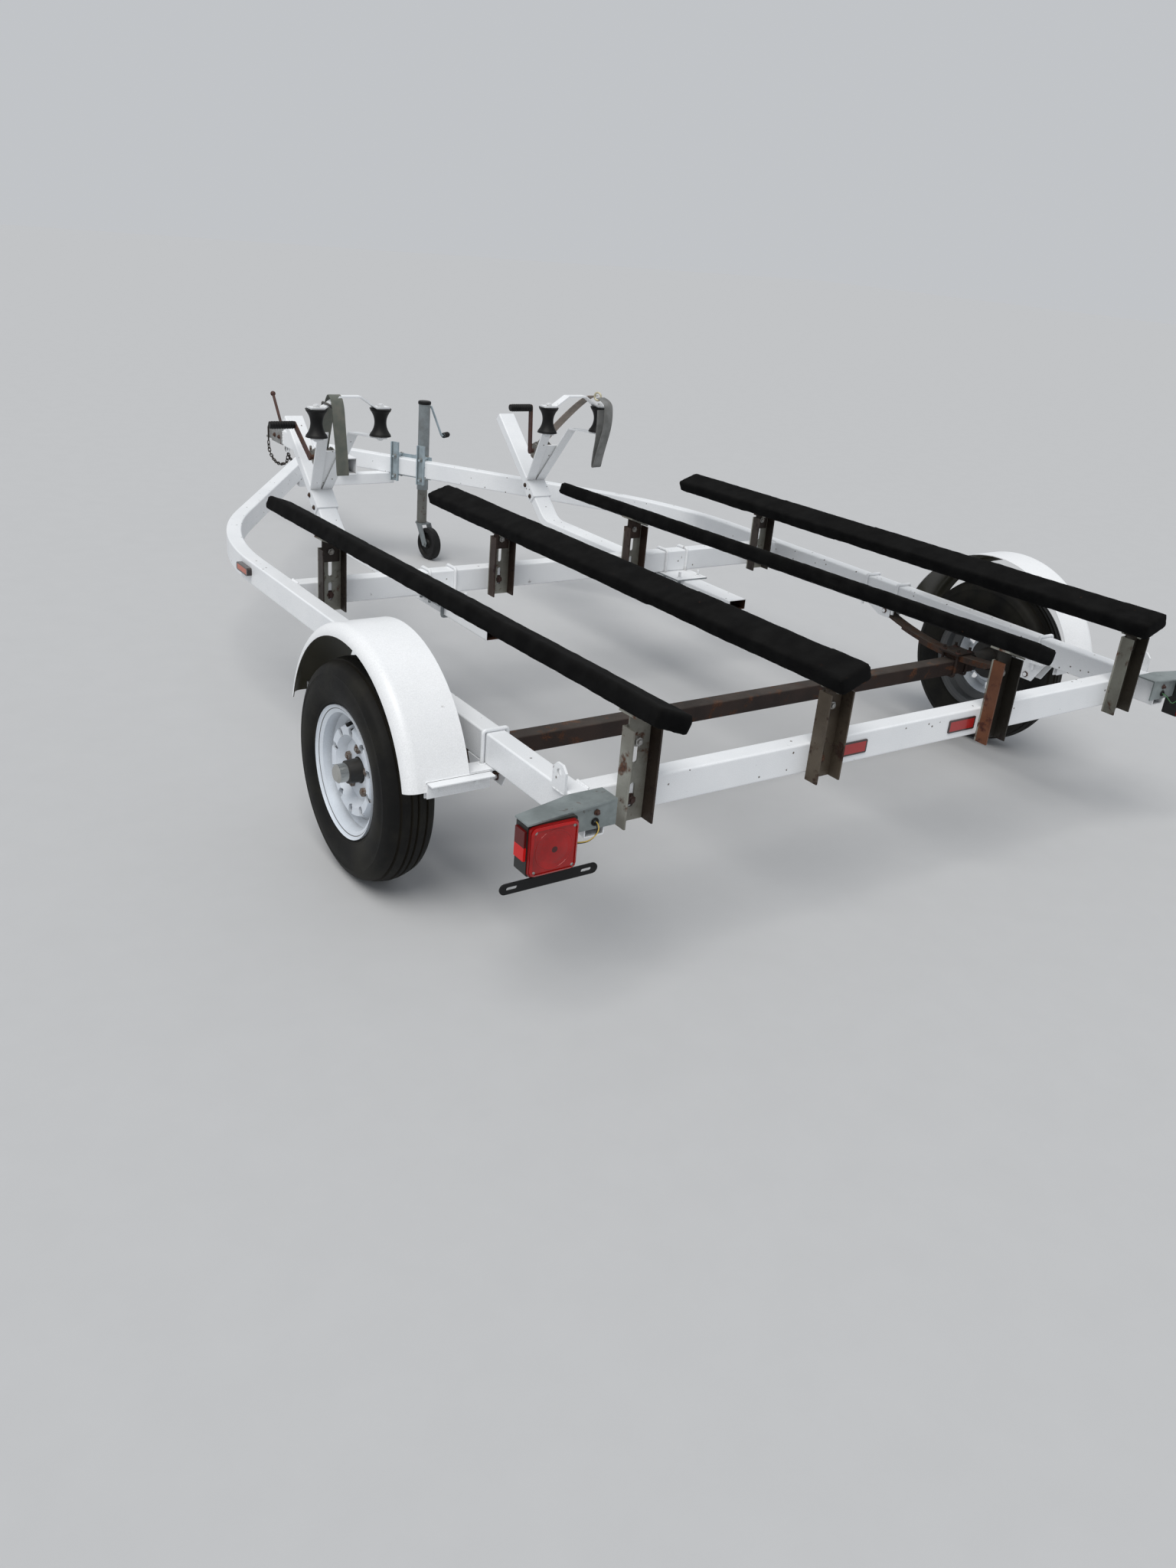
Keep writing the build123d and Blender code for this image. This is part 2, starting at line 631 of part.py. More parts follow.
def hub():
    bore = spindle_radius + 0.5
    points = [(-88, bore), (-88, 30), (-30, 34), (disc_x - 12, 40), (disc_x - 12, 68), (disc_x, 68), (disc_x, 31),
              (disc_x + 38, 29), (disc_x + 40, 24), (disc_x + 62, 24), (disc_x + 68, 18), (disc_x + 68, 0),
              (disc_x + 64, 0), (disc_x + 64, bore)]
    return turned(points, 0, 0, 0)


def rim():
    half = rim_width / 2
    seat = rim_seat_radius
    flange = rim_flange_radius
    outer = [(-half, flange), (-half + 8, flange), (-half + 10, seat + 2), (-half + 34, seat - 2), (-half + 44, 128),
             (half - 48, 128), (half - 36, seat - 2), (half - 10, seat + 2), (half - 8, flange), (half, flange)]
    inner = [(half - rim_sheet, flange - 3), (half - 12, seat - 3), (half - 40, seat - 7), (half - 51, 124),
             (-half + 47, 124), (-half + 37, seat - 7), (-half + 12, seat - 3), (-half + rim_sheet, flange - 3)]
    barrel = turned(outer + inner, 0, 0, 0)
    bowl = turned([(disc_x, 34), (disc_x, 78), (disc_x + 22, 92), (disc_x + 24, 112), (disc_x - 6, 125.5),
                   (disc_x - 14, 125.5), (disc_x - 10, 121), (disc_x + 18, 109), (disc_x + 16, 95),
                   (disc_x - 4, 81), (disc_x - 4, 34)], 0, 0, 0)
    bowl = Pos(4, 0, 0) * bowl
    for index in range(10):
        hole = Plane(origin=(disc_x - 40, 0, 0), x_dir=(0, 1, 0), z_dir=(1, 0, 0)) * (
            Rot(0, 0, index * 36 + 18) * Pos(103, 0) * SlotOverall(26, 20))
        bowl = bowl - extrude(hole, 100)
    for index in range(5):
        hole = Plane(origin=(disc_x - 40, 0, 0), x_dir=(0, 1, 0), z_dir=(1, 0, 0)) * (
            Rot(0, 0, index * 72 + 90) * Pos(lug_circle_radius, 0) * Circle(6.5))
        bowl = bowl - extrude(hole, 100)
    return barrel + bowl


def tyre():
    half = tyre_width / 2
    seat = rim_seat_radius + 2.5
    bead = rim_width / 2 - 11
    outline = [Line((-bead, seat), (bead, seat)),
               Line((bead, seat), (bead + 3, rim_flange_radius + 2)),
               ThreePointArc((bead + 3, rim_flange_radius + 2), (half, 222), (half - 12, 268)),
               ThreePointArc((half - 12, 268), (0, wheel_z), (12 - half, 268)),
               ThreePointArc((12 - half, 268), (-half, 222), (-bead - 3, rim_flange_radius + 2)),
               Line((-bead - 3, rim_flange_radius + 2), (-bead, seat))]
    # The hollow inside, open to the rim between the beads.
    tread = wheel_z - 12
    hollow = [Line((9 - bead, seat - 1), (bead - 9, seat - 1)), Line((bead - 9, seat - 1), (bead - 6, 174)),
              ThreePointArc((bead - 6, 174), (half - 9, 222), (half - 21, 259)),
              ThreePointArc((half - 21, 259), (0, tread), (21 - half, 259)),
              ThreePointArc((21 - half, 259), (9 - half, 222), (6 - bead, 174)), Line((6 - bead, 174), (9 - bead, seat - 1))]
    return revolve(make_face(outline) - make_face(hollow), axis=Axis.X)


rim_piece = rim()
tyre_piece = tyre()
hub_piece = hub()
for name, side in (("right", 1), ("left", -1)):
    place = Pos(side * wheel_middle_x, axle_y, wheel_z)
    for part_name, piece in (("hub", hub_piece), ("rim", rim_piece), ("tyre", tyre_piece)):
        shape = piece if side > 0 else mirror(piece, about=Plane.YZ)
        save(f"{part_name}_{name}", place * shape)


# Fenders: a rolled sheet over each wheel with a rounded outer shoulder and a folded lip
def fender():
    shoulder = fender_radius - fender_lip_radius
    face_edges = []
    for radius_off in (0, fender_sheet):
        crown = fender_radius - radius_off
        outer_x = fender_outer_x - radius_off
        corner = shoulder - radius_off
        face_edges.append([Line((fender_inner_x, crown), (outer_x - corner, crown)),
                           ThreePointArc((outer_x - corner, crown),
                                         (outer_x - corner + corner * sin(pi / 4), crown - corner * (1 - cos(pi / 4))),
                                         (outer_x, crown - corner))])
    first, second = face_edges
    edges = first + second + [Line(first[0] @ 0, second[0] @ 0), Line(first[1] @ 1, second[1] @ 1)]
    face = Plane(origin=(0, fender_middle_y, fender_middle_z), x_dir=(1, 0, 0), z_dir=(0, 0, 1)) * make_face(edges)
    axis = Axis((0, fender_middle_y, fender_middle_z), (1, 0, 0))
    sweep_angle = 180 - 2 * fender_end_angle
    face = face.rotate(axis, fender_end_angle)
    return revolve(face, axis=axis, revolution_arc=sweep_angle)


save("fenders", both_sides(fender()))

# Fender brackets: an angle inside each end of the fender, its flat flange held up under the rail by a U-bolt
angle_sheet = 4.0
angle_drop = 42.0
angle_depth = 50.0
angle_bolt_y = 36.0             # from the angle's upright flange to the U-bolt
u_bolt_gap = 2.0                # between a U-bolt's legs and the tube that it holds
flange_low_z = frame_bottom - angle_sheet
# Half the fender's inside length at the height of the flange, less a hair
angle_reach = sqrt((fender_radius - fender_sheet)**2 - (frame_bottom - fender_middle_z)**2) - 0.3


def rail_u_bolt(y, z_bottom):
    """A U-bolt over the side rail."""
    inside = rail_half_width - rail_width - bolt_radius - u_bolt_gap
    outside = rail_half_width + bolt_radius + u_bolt_gap
    top = frame_top + bolt_radius
    return bent_rod([(inside, y, z_bottom), (inside, y, top), (outside, y, top), (outside, y, z_bottom)],
                    bolt_radius, 8)


def fender_bracket(side):
    """The angle at the front of the right fender for side 1, at its rear for side -1."""
    face_y = fender_middle_y + side * angle_reach
    back_y = face_y - side * angle_depth
    sheet_y = face_y - side * angle_sheet
    outside = fender_outer_x - 46
    shape = block(rail_half_width - rail_width - 18, outside, min(face_y, back_y), max(face_y, back_y),
                  flange_low_z, frame_bottom)
    shape = shape + block(rail_half_width + 10, outside, min(face_y, sheet_y), max(face_y, sheet_y),
                          frame_bottom - angle_drop, frame_bottom)
    return shape + rail_u_bolt(face_y - side * angle_bolt_y, frame_bottom - 26)


bracket_children = []
for side in (-1, 1):
    bracket_children += list(both_sides(fender_bracket(side)).children)
save("fender_brackets", Compound(children=bracket_children))

# Spring hangers: folded cheeks beside each spring's end, and the bolt through them
cheek_plate = 3.5
cheek_gap = 1.0
hanger_bolt = 6.5


def hanger(y0, y1, pin_y, pin_z, low):
    """A hanger under the rail from y0 to y1, narrowing to its pin."""
    half = spring_width / 2 + cheek_gap
    plane = Plane(origin=(rail_middle_x - half - cheek_plate, 0, 0), x_dir=(0, 1, 0), z_dir=(1, 0, 0))
    outline = Polyline((y0, frame_bottom), (y1, frame_bottom), (min(pin_y + 24, y1), low), (max(pin_y - 24, y0), low),
                       close=True)
    shape = extrude(plane * make_face(outline), 2 * half + 2 * cheek_plate)
    shape = shape - block(rail_middle_x - half, rail_middle_x + half, y0 - 1, y1 + 1, 0, frame_bottom - 5)
    for side in (-1, 1):
        face_y = fender_middle_y + side * (angle_reach + 1)
        back_y = face_y - side * (angle_depth + 2)
        shape = shape - block(0, 2000, min(face_y, back_y), max(face_y, back_y), flange_low_z, 500)
    bolt_half = half + 9
    return shape + rod((rail_middle_x - bolt_half, pin_y, pin_z), (rail_middle_x + bolt_half, pin_y, pin_z),
                       hanger_bolt)


front_eye_y = axle_y + spring_radius * sin(spring_half / spring_radius)
front_eye_z = spring_end_z(spring_half) + eye_radius
rear_end_y = axle_y - spring_radius * sin(spring_half / spring_radius)
rear_pin_y = rear_end_y + 22
rear_pin_z = spring_end_z(axle_y - rear_pin_y) - hanger_bolt - 0.3


def front_hanger():
    y1 = front_eye_y + 122
    shape = hanger(front_eye_y - 30, y1, front_eye_y, front_eye_z, front_eye_z - 22)
    ear = block(rail_half_width - rail_width - 20, rail_half_width + 20, y1 - 34, y1, frame_bottom - 5, frame_bottom)
    return shape + ear + rail_u_bolt(y1 - 17, frame_bottom - 26)


def rear_hanger():
    return hanger(rear_end_y - 40, rear_end_y + 76, rear_pin_y, rear_pin_z, rear_pin_z - 16)


hanger_children = list(both_sides(front_hanger()).children) + list(both_sides(rear_hanger()).children)
save("spring_hangers", Compound(children=hanger_children))

outer_bunk_rear_x = rail_half_width - 160
outer_bunk_front_x = rail_half_width - 153

# Bunks: post tops and boards. Columns: name, x at the rear post, x at the front post, side that stands higher,
# how far the board reaches behind the rear cross member.
bunk_table = [
    ("bunk_1", -outer_bunk_rear_x, -outer_bunk_front_x, -1, bunk_rear_overhang),
    ("bunk_2", -309.6, -274.4, 1, 75.0),
    ("bunk_3", 309.6, 274.4, -1, bunk_rear_overhang),
    ("bunk_4", outer_bunk_rear_x, outer_bunk_front_x, 1, 75.0),
]
rear_post_y = rear_cross_y - post_depth / 2
front_post_y = mid_cross_y - post_depth / 2


def bunk_plane(row, y):
    """A plane along the board's middle line at the given y, turned by the board's tilt."""
    name, x_rear, x_front, high_side, overhang = row
    share = (y - rear_post_y) / (front_post_y - rear_post_y)
    x = x_rear + (x_front - x_rear) * share
    z = bunk_rear_z + (bunk_front_z - bunk_rear_z) * share
    back = Vector(x_rear - x_front, rear_post_y - front_post_y, bunk_rear_z - bunk_front_z)
    across = Vector(cos(radians(bunk_tilt)), 0, high_side * sin(radians(bunk_tilt)))
    return Plane(origin=(x, y, z), x_dir=across, z_dir=back)


def bunk(row):
    plane = bunk_plane(row, -row[4])
    board = extrude(plane * RectangleRounded(bunk_width, bunk_thickness, 9), -bunk_length)
    ends = board.faces().sort_by(Axis.Y)
    return fillet(ends[0].edges() + ends[-1].edges(), 7)


for row in bunk_table:
    save(row[0], bunk(row))


def bunk_post(row, y):
    """A slotted channel bolted to the cross member's rear face, and the angle on top that carries the board."""
    name, x_rear, x_front, high_side, overhang = row
    plane = bunk_plane(row, y)
    x = plane.origin.X
    top = plane.origin.Z - bunk_thickness / 2 - 22
    rear = y - post_depth / 2
    front = y + post_depth / 2
    shape = block(x - post_width / 2, x + post_width / 2, rear, front, post_bottom_z, top)
    shape = shape - block(x - post_width / 2 + post_wall, x + post_width / 2 - post_wall, rear - 1,
                          front - post_wall, post_bottom_z - 1, top + 1)
    for z in (post_bottom_z + 62, top - 62):
        slot = Plane(origin=(x, front + 1, z), x_dir=(0, 0, 1), z_dir=(0, -1, 0)) * SlotOverall(58, 13)
        shape = shape - extrude(slot, 10)
    seat = plane.offset(-30) * (Pos(0, -bunk_thickness / 2 - 2.5) * Rectangle(post_width, 5))
    shape_top = extrude(seat, 60)
    tab = block(x - 28, x + 28, front - post_wall - 5, front - post_wall, top - 45, top + 40)
    board_space = plane.offset(-60) * (Pos(0, 50 - bunk_thickness / 2) * Rectangle(2 * bunk_width, 100))
    return [shape, shape_top + (tab - extrude(board_space, 120))]


posts = []
seats = []
for y in (rear_post_y, front_post_y):
    for row in bunk_table:
        post, seat = bunk_post(row, y)
        posts.append(post)
        seats.append(seat)
save("bunk_posts", Compound(children=posts))
save("bunk_angles", Compound(children=seats))

# Jack on the right front leg. Its axis stands beside the leg's outer face.
jack_axis = leg_point(jack_leg_y, rail_width / 2 + jack_offset)
jack_pivot_z = frame_middle_z


def beside_leg(out, along, z):
    """A point given from the jack's place on the leg: out from its middle line, along it, and its height."""
    base = leg_point(jack_leg_y, out) + leg_along * along
    return Vector(base.X, base.Y, z)


def leg_block(out0, out1, along0, along1, z0, z1):
    """A block square to the leg."""
    middle = beside_leg((out0 + out1) / 2, (along0 + along1) / 2, (z0 + z1) / 2)
    return Plane(origin=middle, x_dir=leg_out, z_dir=(0, 0, 1)) * Box(out1 - out0, along1 - along0, z1 - z0)


pivot_radius = 12.0
pivot_face = rail_width / 2 + 20.0      # outer face of the mount's boss


def jack_mount():
    half = rail_width / 2
    shape = leg_block(half, half + 8, -92, 92, frame_bottom - 14, frame_top + 14)
    for along in (-70, 70):
        bar = leg_block(-half - 14, -half, along - 19, along + 19, frame_bottom - 30, frame_top + 72)
        bar = bar - leg_block(-half - 17, -half - 5, along - 14, along + 14, frame_bottom - 40, frame_top + 90)
        shape = shape + bar
        for z in (frame_bottom - 8, frame_top + 8):
            shape = shape + rod(beside_leg(-half - 22, along, z), beside_leg(half + 20, along, z), 5.5)
    shape = shape + rod(beside_leg(half + 8, 0, jack_pivot_z), beside_leg(pivot_face, 0, jack_pivot_z), 36)
    return shape + rod(beside_leg(pivot_face, 0, jack_pivot_z), beside_leg(pivot_face + 13, 0, jack_pivot_z),
                       pivot_radius)


save("jack_mount", jack_mount())


crank_z = 708.0
crank_boss = 14.0
rotor_face = pivot_face + 0.4           # the swivel turns against the mount's boss


def jack_tube():
    half = rail_width / 2
    low = Vector(jack_axis.X, jack_axis.Y, jack_tube_bottom_z)
    upright = Plane(origin=low, z_dir=(0, 0, 1))
    height = jack_top_z - jack_tube_bottom_z
    shape = extrude(upright * Circle(jack_tube_radius), height - 4)
    shape = shape + extrude(upright.offset(height - 4) * Circle(jack_tube_radius + 2), 4)
    swivel = rod(beside_leg(rotor_face, 0, jack_pivot_z), beside_leg(rotor_face + 14, 0, jack_pivot_z), 40)
    saddle = leg_block(rotor_face + 14, half + jack_offset, -30, 30, jack_pivot_z - 42, jack_pivot_z + 42)
    boss = rod(beside_leg(half + jack_offset, 0, crank_z),
               beside_leg(half + jack_offset + jack_tube_radius + crank_boss, 0, crank_z), 11)
    shape = shape + swivel + saddle + boss
    shape = shape - extrude(upright.offset(-1) * Circle(jack_tube_radius - 3), height - 5)
    pin_hole = rod(beside_leg(pivot_face - 1, 0, jack_pivot_z), beside_leg(pivot_face + 14, 0, jack_pivot_z),
                   pivot_radius + 0.4)
    return shape - pin_hole


save("jack_tube", jack_tube())


def jack_crank():
    out = rail_width / 2 + jack_offset
    start = beside_leg(out + jack_tube_radius + crank_boss, 0, crank_z)
    knee = beside_leg(out + 62, 0, crank_z)
    low = beside_leg(out + 78, -52, crank_z - 132)
    end = beside_leg(out + 140, -52, crank_z - 132)
    shape = bent_rod([start, knee, low, end], 5, 10)
    grip_start = beside_leg(out + 92, -52, crank_z - 132)
    return shape + rod(grip_start, end, 11)


save("jack_crank", jack_crank())
caster_axle_z = caster_radius
fork_top_z = 168.0


def jack_leg():
    low = Vector(jack_axis.X, jack_axis.Y, fork_top_z)
    section = Circle(jack_leg_radius) - Circle(jack_leg_radius - 3)
    tube = extrude(Plane(origin=low, z_dir=(0, 0, 1)) * section, 470)
    plug = extrude(Plane(origin=low, z_dir=(0, 0, 1)) * Circle(jack_leg_radius - 3), 10)
    stud = extrude(Plane(origin=(low.X, low.Y, fork_top_z - 12), z_dir=(0, 0, 1)) * Circle(8), 14)
    return tube + plug + stud


save("jack_leg", jack_leg())

heading = radians(caster_heading)
trail_direction = Vector(sin(heading), -cos(heading), 0)
caster_side = Vector(cos(heading), sin(heading), 0)
caster_centre = jack_axis + trail_direction * caster_trail + Vector(0, 0, caster_axle_z)


def caster_fork():
    top = fork_top_z - 1.0
    plate_half = caster_width / 2 + 4
    head = Plane(origin=(jack_axis.X, jack_axis.Y, top - 6), x_dir=caster_side, z_dir=(0, 0, 1))
    shape = extrude(head * (Circle(30) + Pos(0, -16) * Rectangle(2 * plate_half + 8, 44)), 6)
    for side in (-1, 1):
        origin = jack_axis + caster_side * (side * (plate_half + 2))
        wall = Plane(origin=(origin.X, origin.Y, 0), x_dir=trail_direction, z_dir=caster_side)
        flip = 1 if abs(wall.y_dir.Z - 1) < 0.1 else -1
        outline = Polyline((-6, flip * top), (38, flip * top), (caster_trail + 16, flip * (caster_axle_z + 6)),
                           (caster_trail + 10, flip * (caster_axle_z - 14)),
                           (caster_trail - 16, flip * (caster_axle_z - 10)), close=True)
        shape = shape + extrude(wall * make_face(outline), 2, both=True)
    shape = shape + rod(caster_centre - caster_side * (plate_half + 9), caster_centre + caster_side * (plate_half + 9), 6)
    bore = extrude(Plane(origin=(jack_axis.X, jack_axis.Y, top - 20), z_dir=(0, 0, 1)) * Circle(8.5), 40)
    return shape - bore


save("caster_fork", caster_fork())


def caster_wheel():
    half = caster_width / 2
    tread = caster_radius
    points = [(-half, 6.5), (-half, 20), (-half + 8, 24), (-half + 8, 52), (-half, 56), (-half, tread - 9),
              (-half + 7, tread), (half - 7, tread), (half, tread - 9), (half, 56), (half - 8, 52), (half - 8, 24), (half, 20), (half, 6.5)]
    wheel = turned(points, 0, 0, 0)
    place = Plane(origin=caster_centre, x_dir=caster_side, z_dir=(0, 0, 1))
    return place.location * wheel


save("caster_wheel", caster_wheel())

# Lamps on the rails' rear ends
lamp_size = 117.0
lamp_height = 112.0
lamp_middle_x = rail_half_width + 98
lamp_rear_y = -101.0
lamp_depth = 52.0
lamp_top_z = frame_top - 3
bracket_sheet = 4.0


def lamp_bracket():
    rail_end = -rail_rear_overhang - 0.2
    seat_z = frame_top + 0.2
    rear_face = block(rail_half_width - 76, lamp_middle_x + 62, rail_end - bracket_sheet, rail_end,
                      frame_top - 56, seat_z)
    notch = block(lamp_middle_x - lamp_size / 2 - 1, lamp_middle_x + 100, -200, 0, 0, seat_z)
    top = Polyline((rail_half_width - 76, -rail_rear_overhang - bracket_sheet), (lamp_middle_x + 62, -98),
                   (lamp_middle_x + 62, -48), (rail_half_width + 6, -10), (rail_half_width - 76, -10), close=True)
    top_plate = extrude(Plane(origin=(0, 0, seat_z), z_dir=(0, 0, 1)) * make_face(top), bracket_sheet)
    return (rear_face - notch) + top_plate


save("lamp_brackets", both_sides(lamp_bracket()))


def lamp():
    body = block(lamp_middle_x - lamp_size / 2, lamp_middle_x + lamp_size / 2, lamp_rear_y + 8, lamp_rear_y + lamp_depth,
                 lamp_top_z - lamp_height, frame_top)
    body = fillet(body.edges().filter_by(Axis.Y), 6)
    lens = block(lamp_middle_x - lamp_size / 2 + 2, lamp_middle_x + lamp_size / 2 - 2, lamp_rear_y, lamp_rear_y + 8,
                 lamp_top_z - lamp_height + 2, lamp_top_z - 1)
    lens = fillet(lens.edges().filter_by(Axis.Y), 8)
    side = block(lamp_middle_x + lamp_size / 2, lamp_middle_x + lamp_size / 2 + 5, lamp_rear_y + 12,
                 lamp_rear_y + lamp_depth - 4, lamp_top_z - 78, lamp_top_z - 12)
    return body + lens + side


save("tail_lamps", both_sides(lamp()))
bar_z = lamp_top_z - lamp_height
bar_sheet = 3.5
bar_rear_y = lamp_rear_y + 5
bar_middle_z = bar_z - 16
plate_holes = 177.8             # between the licence plate's two slots
bar_face = Plane(origin=(-lamp_middle_x, bar_rear_y, bar_middle_z), x_dir=(1, 0, 0), z_dir=(0, -1, 0))
licence_bar = extrude(bar_face * SlotOverall(234, 24), -bar_sheet)
licence_bar = licence_bar + block(-lamp_middle_x - 35, -lamp_middle_x + 35, bar_rear_y + 0.5, bar_rear_y + 32,
                                  bar_middle_z, bar_z)
for offset in (-plate_holes / 2, plate_holes / 2):
    slot = bar_face.offset(10) * Pos(offset, 0) * SlotOverall(26, 8)
    licence_bar = licence_bar - extrude(slot, -20)
save("licence_bar", licence_bar)

# Side markers behind the rails' bends, and the two reflectors on the rear cross member
marker_y = 1928.0
marker = block(rail_half_width, rail_half_width + 16, marker_y - 50, marker_y + 50, frame_top - 46, frame_top - 20)
marker = fillet(marker.edges().filter_by(Axis.X), 8)
save("side_markers", both_sides(marker))
reflector = block(152, 254, -3.2, 0, frame_top - 56, frame_top - 20)
reflector = fillet(reflector.edges().filter_by(Axis.Y), 4)
save("reflectors", both_sides(reflector))
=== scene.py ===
# %% [markdown]
# # A double watercraft trailer
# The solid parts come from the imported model: tubes, wheels, boards and brackets already have their real sizes
# and places there. This lesson gives each of them its finish, adds the small pieces that a solid model leaves
# out, and sets up the view. Everything is in metres, with +Y towards the coupler and the ground at z = 0.

# %% Load the frame
import json
from math import cos, pi, radians, sin, tan

import bmesh
import bpy
from mathutils import Matrix, Vector


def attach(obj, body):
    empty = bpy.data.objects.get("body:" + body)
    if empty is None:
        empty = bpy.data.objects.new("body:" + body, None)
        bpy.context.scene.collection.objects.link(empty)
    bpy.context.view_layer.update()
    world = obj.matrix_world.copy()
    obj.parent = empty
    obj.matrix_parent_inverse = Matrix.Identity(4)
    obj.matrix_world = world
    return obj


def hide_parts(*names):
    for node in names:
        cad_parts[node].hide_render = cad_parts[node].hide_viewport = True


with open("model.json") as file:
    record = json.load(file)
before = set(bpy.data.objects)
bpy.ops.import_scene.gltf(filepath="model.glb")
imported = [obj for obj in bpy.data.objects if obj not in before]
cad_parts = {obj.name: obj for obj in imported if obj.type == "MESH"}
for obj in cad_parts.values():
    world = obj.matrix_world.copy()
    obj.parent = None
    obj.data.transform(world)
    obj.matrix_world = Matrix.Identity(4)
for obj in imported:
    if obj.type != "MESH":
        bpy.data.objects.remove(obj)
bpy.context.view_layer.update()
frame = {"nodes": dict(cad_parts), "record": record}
nodes = frame["nodes"]
print("nodes", len(nodes))

# %% [markdown]
# ## Places
# The shop drawing measures the trailer in millimetres, forward from the rear face of its rear cross member.
# One short function turns such a place into the frame's metres, so that every number below can be read off
# the drawing.

# %% Drawing places
rear_face_y = -2.162027


def at(x, y, z):
    """A place on the drawing, in millimetres, as a point of the frame in metres."""
    return Vector((x / 1000, rear_face_y + y / 1000, z / 1000))


sides = (-1, 1)
rail_half_width = 1035.0
rail_width = 50.8
rail_middle_x = rail_half_width - rail_width / 2
frame_top = 484.0
frame_bottom = 407.8
wheel_x = 1187.0
axle_y = 678.0
axle_z = 284.0
mast_x = 488.0
fender_y = 657
lamp_x = 1133
lamp_z = 425
print("hub centre", [round(v, 3) for v in at(wheel_x, axle_y, axle_z)])

# %% [markdown]
# ## The view
# The camera stands behind the trailer's left corner at eye height and looks forward and down. A camera is
# placed by a matrix whose columns are its right, its up and the way behind it, because that says in one step
# where it looks and how far it leans. The focal length is written in pixels of a picture 1536 wide and is
# turned into millimetres.

# %% Camera
camera_place = Vector((-2.3576, -4.0461, 1.5645))
camera_heading = radians(35.987)
camera_pitch = radians(-24.632)
camera_roll = radians(5.215)
focal_pixels = 1596.15
picture_width = 1536
sensor_width = 36.0

level_share = cos(camera_pitch)
ahead = Vector((sin(camera_heading) * level_share, cos(camera_heading) * level_share, sin(camera_pitch)))
level_right = Vector((cos(camera_heading), -sin(camera_heading), 0))
level_up = level_right.cross(ahead)
right = level_right * cos(camera_roll) + level_up * sin(camera_roll)
up = level_up * cos(camera_roll) - level_right * sin(camera_roll)

camera_data = bpy.data.cameras.new("camera")
camera_data.sensor_fit = "HORIZONTAL"
camera_data.sensor_width = sensor_width
camera_data.lens = sensor_width * focal_pixels / picture_width
camera = bpy.data.objects.new("camera", camera_data)
bpy.context.scene.collection.objects.link(camera)
camera.matrix_world = Matrix.Translation(camera_place) @ Matrix((right, up, -ahead)).transposed().to_4x4()
bpy.context.scene.camera = camera
print("lens", round(camera_data.lens, 2), "mm")

# %% [markdown]
# ## Light and floor
# A bright overcast sky lights the real trailer: the tops of its tubes are white and their sides a pale blue
# grey. A cool world gives the fill and one very soft sun, high on the left, gives the tops their light. The
# floor is a plain pale sheet that only catches the shadow, and the far background has the floor's own tone,
# so that no horizon shows.

# %% World, sun and floor
scene = bpy.context.scene
scene.view_settings.view_transform = "Standard"
sky_fill = (0.50, 0.53, 0.57, 1)
background_tone = (0.535, 0.552, 0.575, 1)
sun_strength = 1.9
sun_spread = radians(40)
sun_tone = (1.0, 0.985, 0.96)
sun_direction = Vector((0.42, 0.30, -1.0))
floor_tone = (0.515, 0.515, 0.515)
floor_size = 80


def socket(tree, kind, settings=None, values=None, out=0):
    """Adds one node, sets it, links or fills its inputs, and returns one output, or all where out is None."""
    made = tree.nodes.new(kind)
    for key, value in (settings or {}).items():
        setattr(made, key, value)
    for key, value in (values or {}).items():
        if isinstance(value, bpy.types.NodeSocket):
            tree.links.new(value, made.inputs[key])
        else:
            made.inputs[key].default_value = value
    return made.outputs if out is None else made.outputs[out]


def sums(tree, operation, first, second=0.0, third=0.0, clamp=False):
    """A Math node."""
    return socket(tree, "ShaderNodeMath", {"operation": operation, "use_clamp": clamp},
                  {0: first, 1: second, 2: third})


world = bpy.data.worlds.new("studio")
scene.world = world
world.use_nodes = True
sky_tree = world.node_tree
sky_tree.nodes.clear()
fill_light = socket(sky_tree, "ShaderNodeBackground", values={"Color": sky_fill})
backdrop = socket(sky_tree, "ShaderNodeBackground", values={"Color": background_tone})
ray = socket(sky_tree, "ShaderNodeLightPath", out=None)
mirrored = sums(sky_tree, "MAXIMUM", ray["Is Glossy Ray"], ray["Is Transmission Ray"])
seen = sums(sky_tree, "MAXIMUM", ray["Is Camera Ray"], mirrored)
sky = socket(sky_tree, "ShaderNodeMixShader", values={0: seen, 1: fill_light, 2: backdrop})
world_output = sky_tree.nodes.new("ShaderNodeOutputWorld")
sky_tree.links.new(sky, world_output.inputs["Surface"])

sun_data = bpy.data.lights.new("soft_sun", "SUN")
sun_data.energy = sun_strength
sun_data.angle = sun_spread
sun_data.color = sun_tone
sun = bpy.data.objects.new("soft_sun", sun_data)
scene.collection.objects.link(sun)
sun.rotation_euler = sun_direction.to_track_quat("-Z", "Y").to_euler()


def deselect():
    """Clears the selection, because a modelling step acts on whatever is selected."""
    bpy.ops.object.select_all(action="DESELECT")


deselect()
bpy.ops.mesh.primitive_plane_add(size=floor_size, location=(0, 0, 0))
floor = bpy.context.active_object
floor.name = "floor"
print("world", world.name, "sun", sun_data.energy)

# %% [markdown]
# ## Node tools
# A node takes four lines to add, set and link, so each kind that is used often gets a one-line function. A
# node group is an effect that is drawn once and used by many materials.


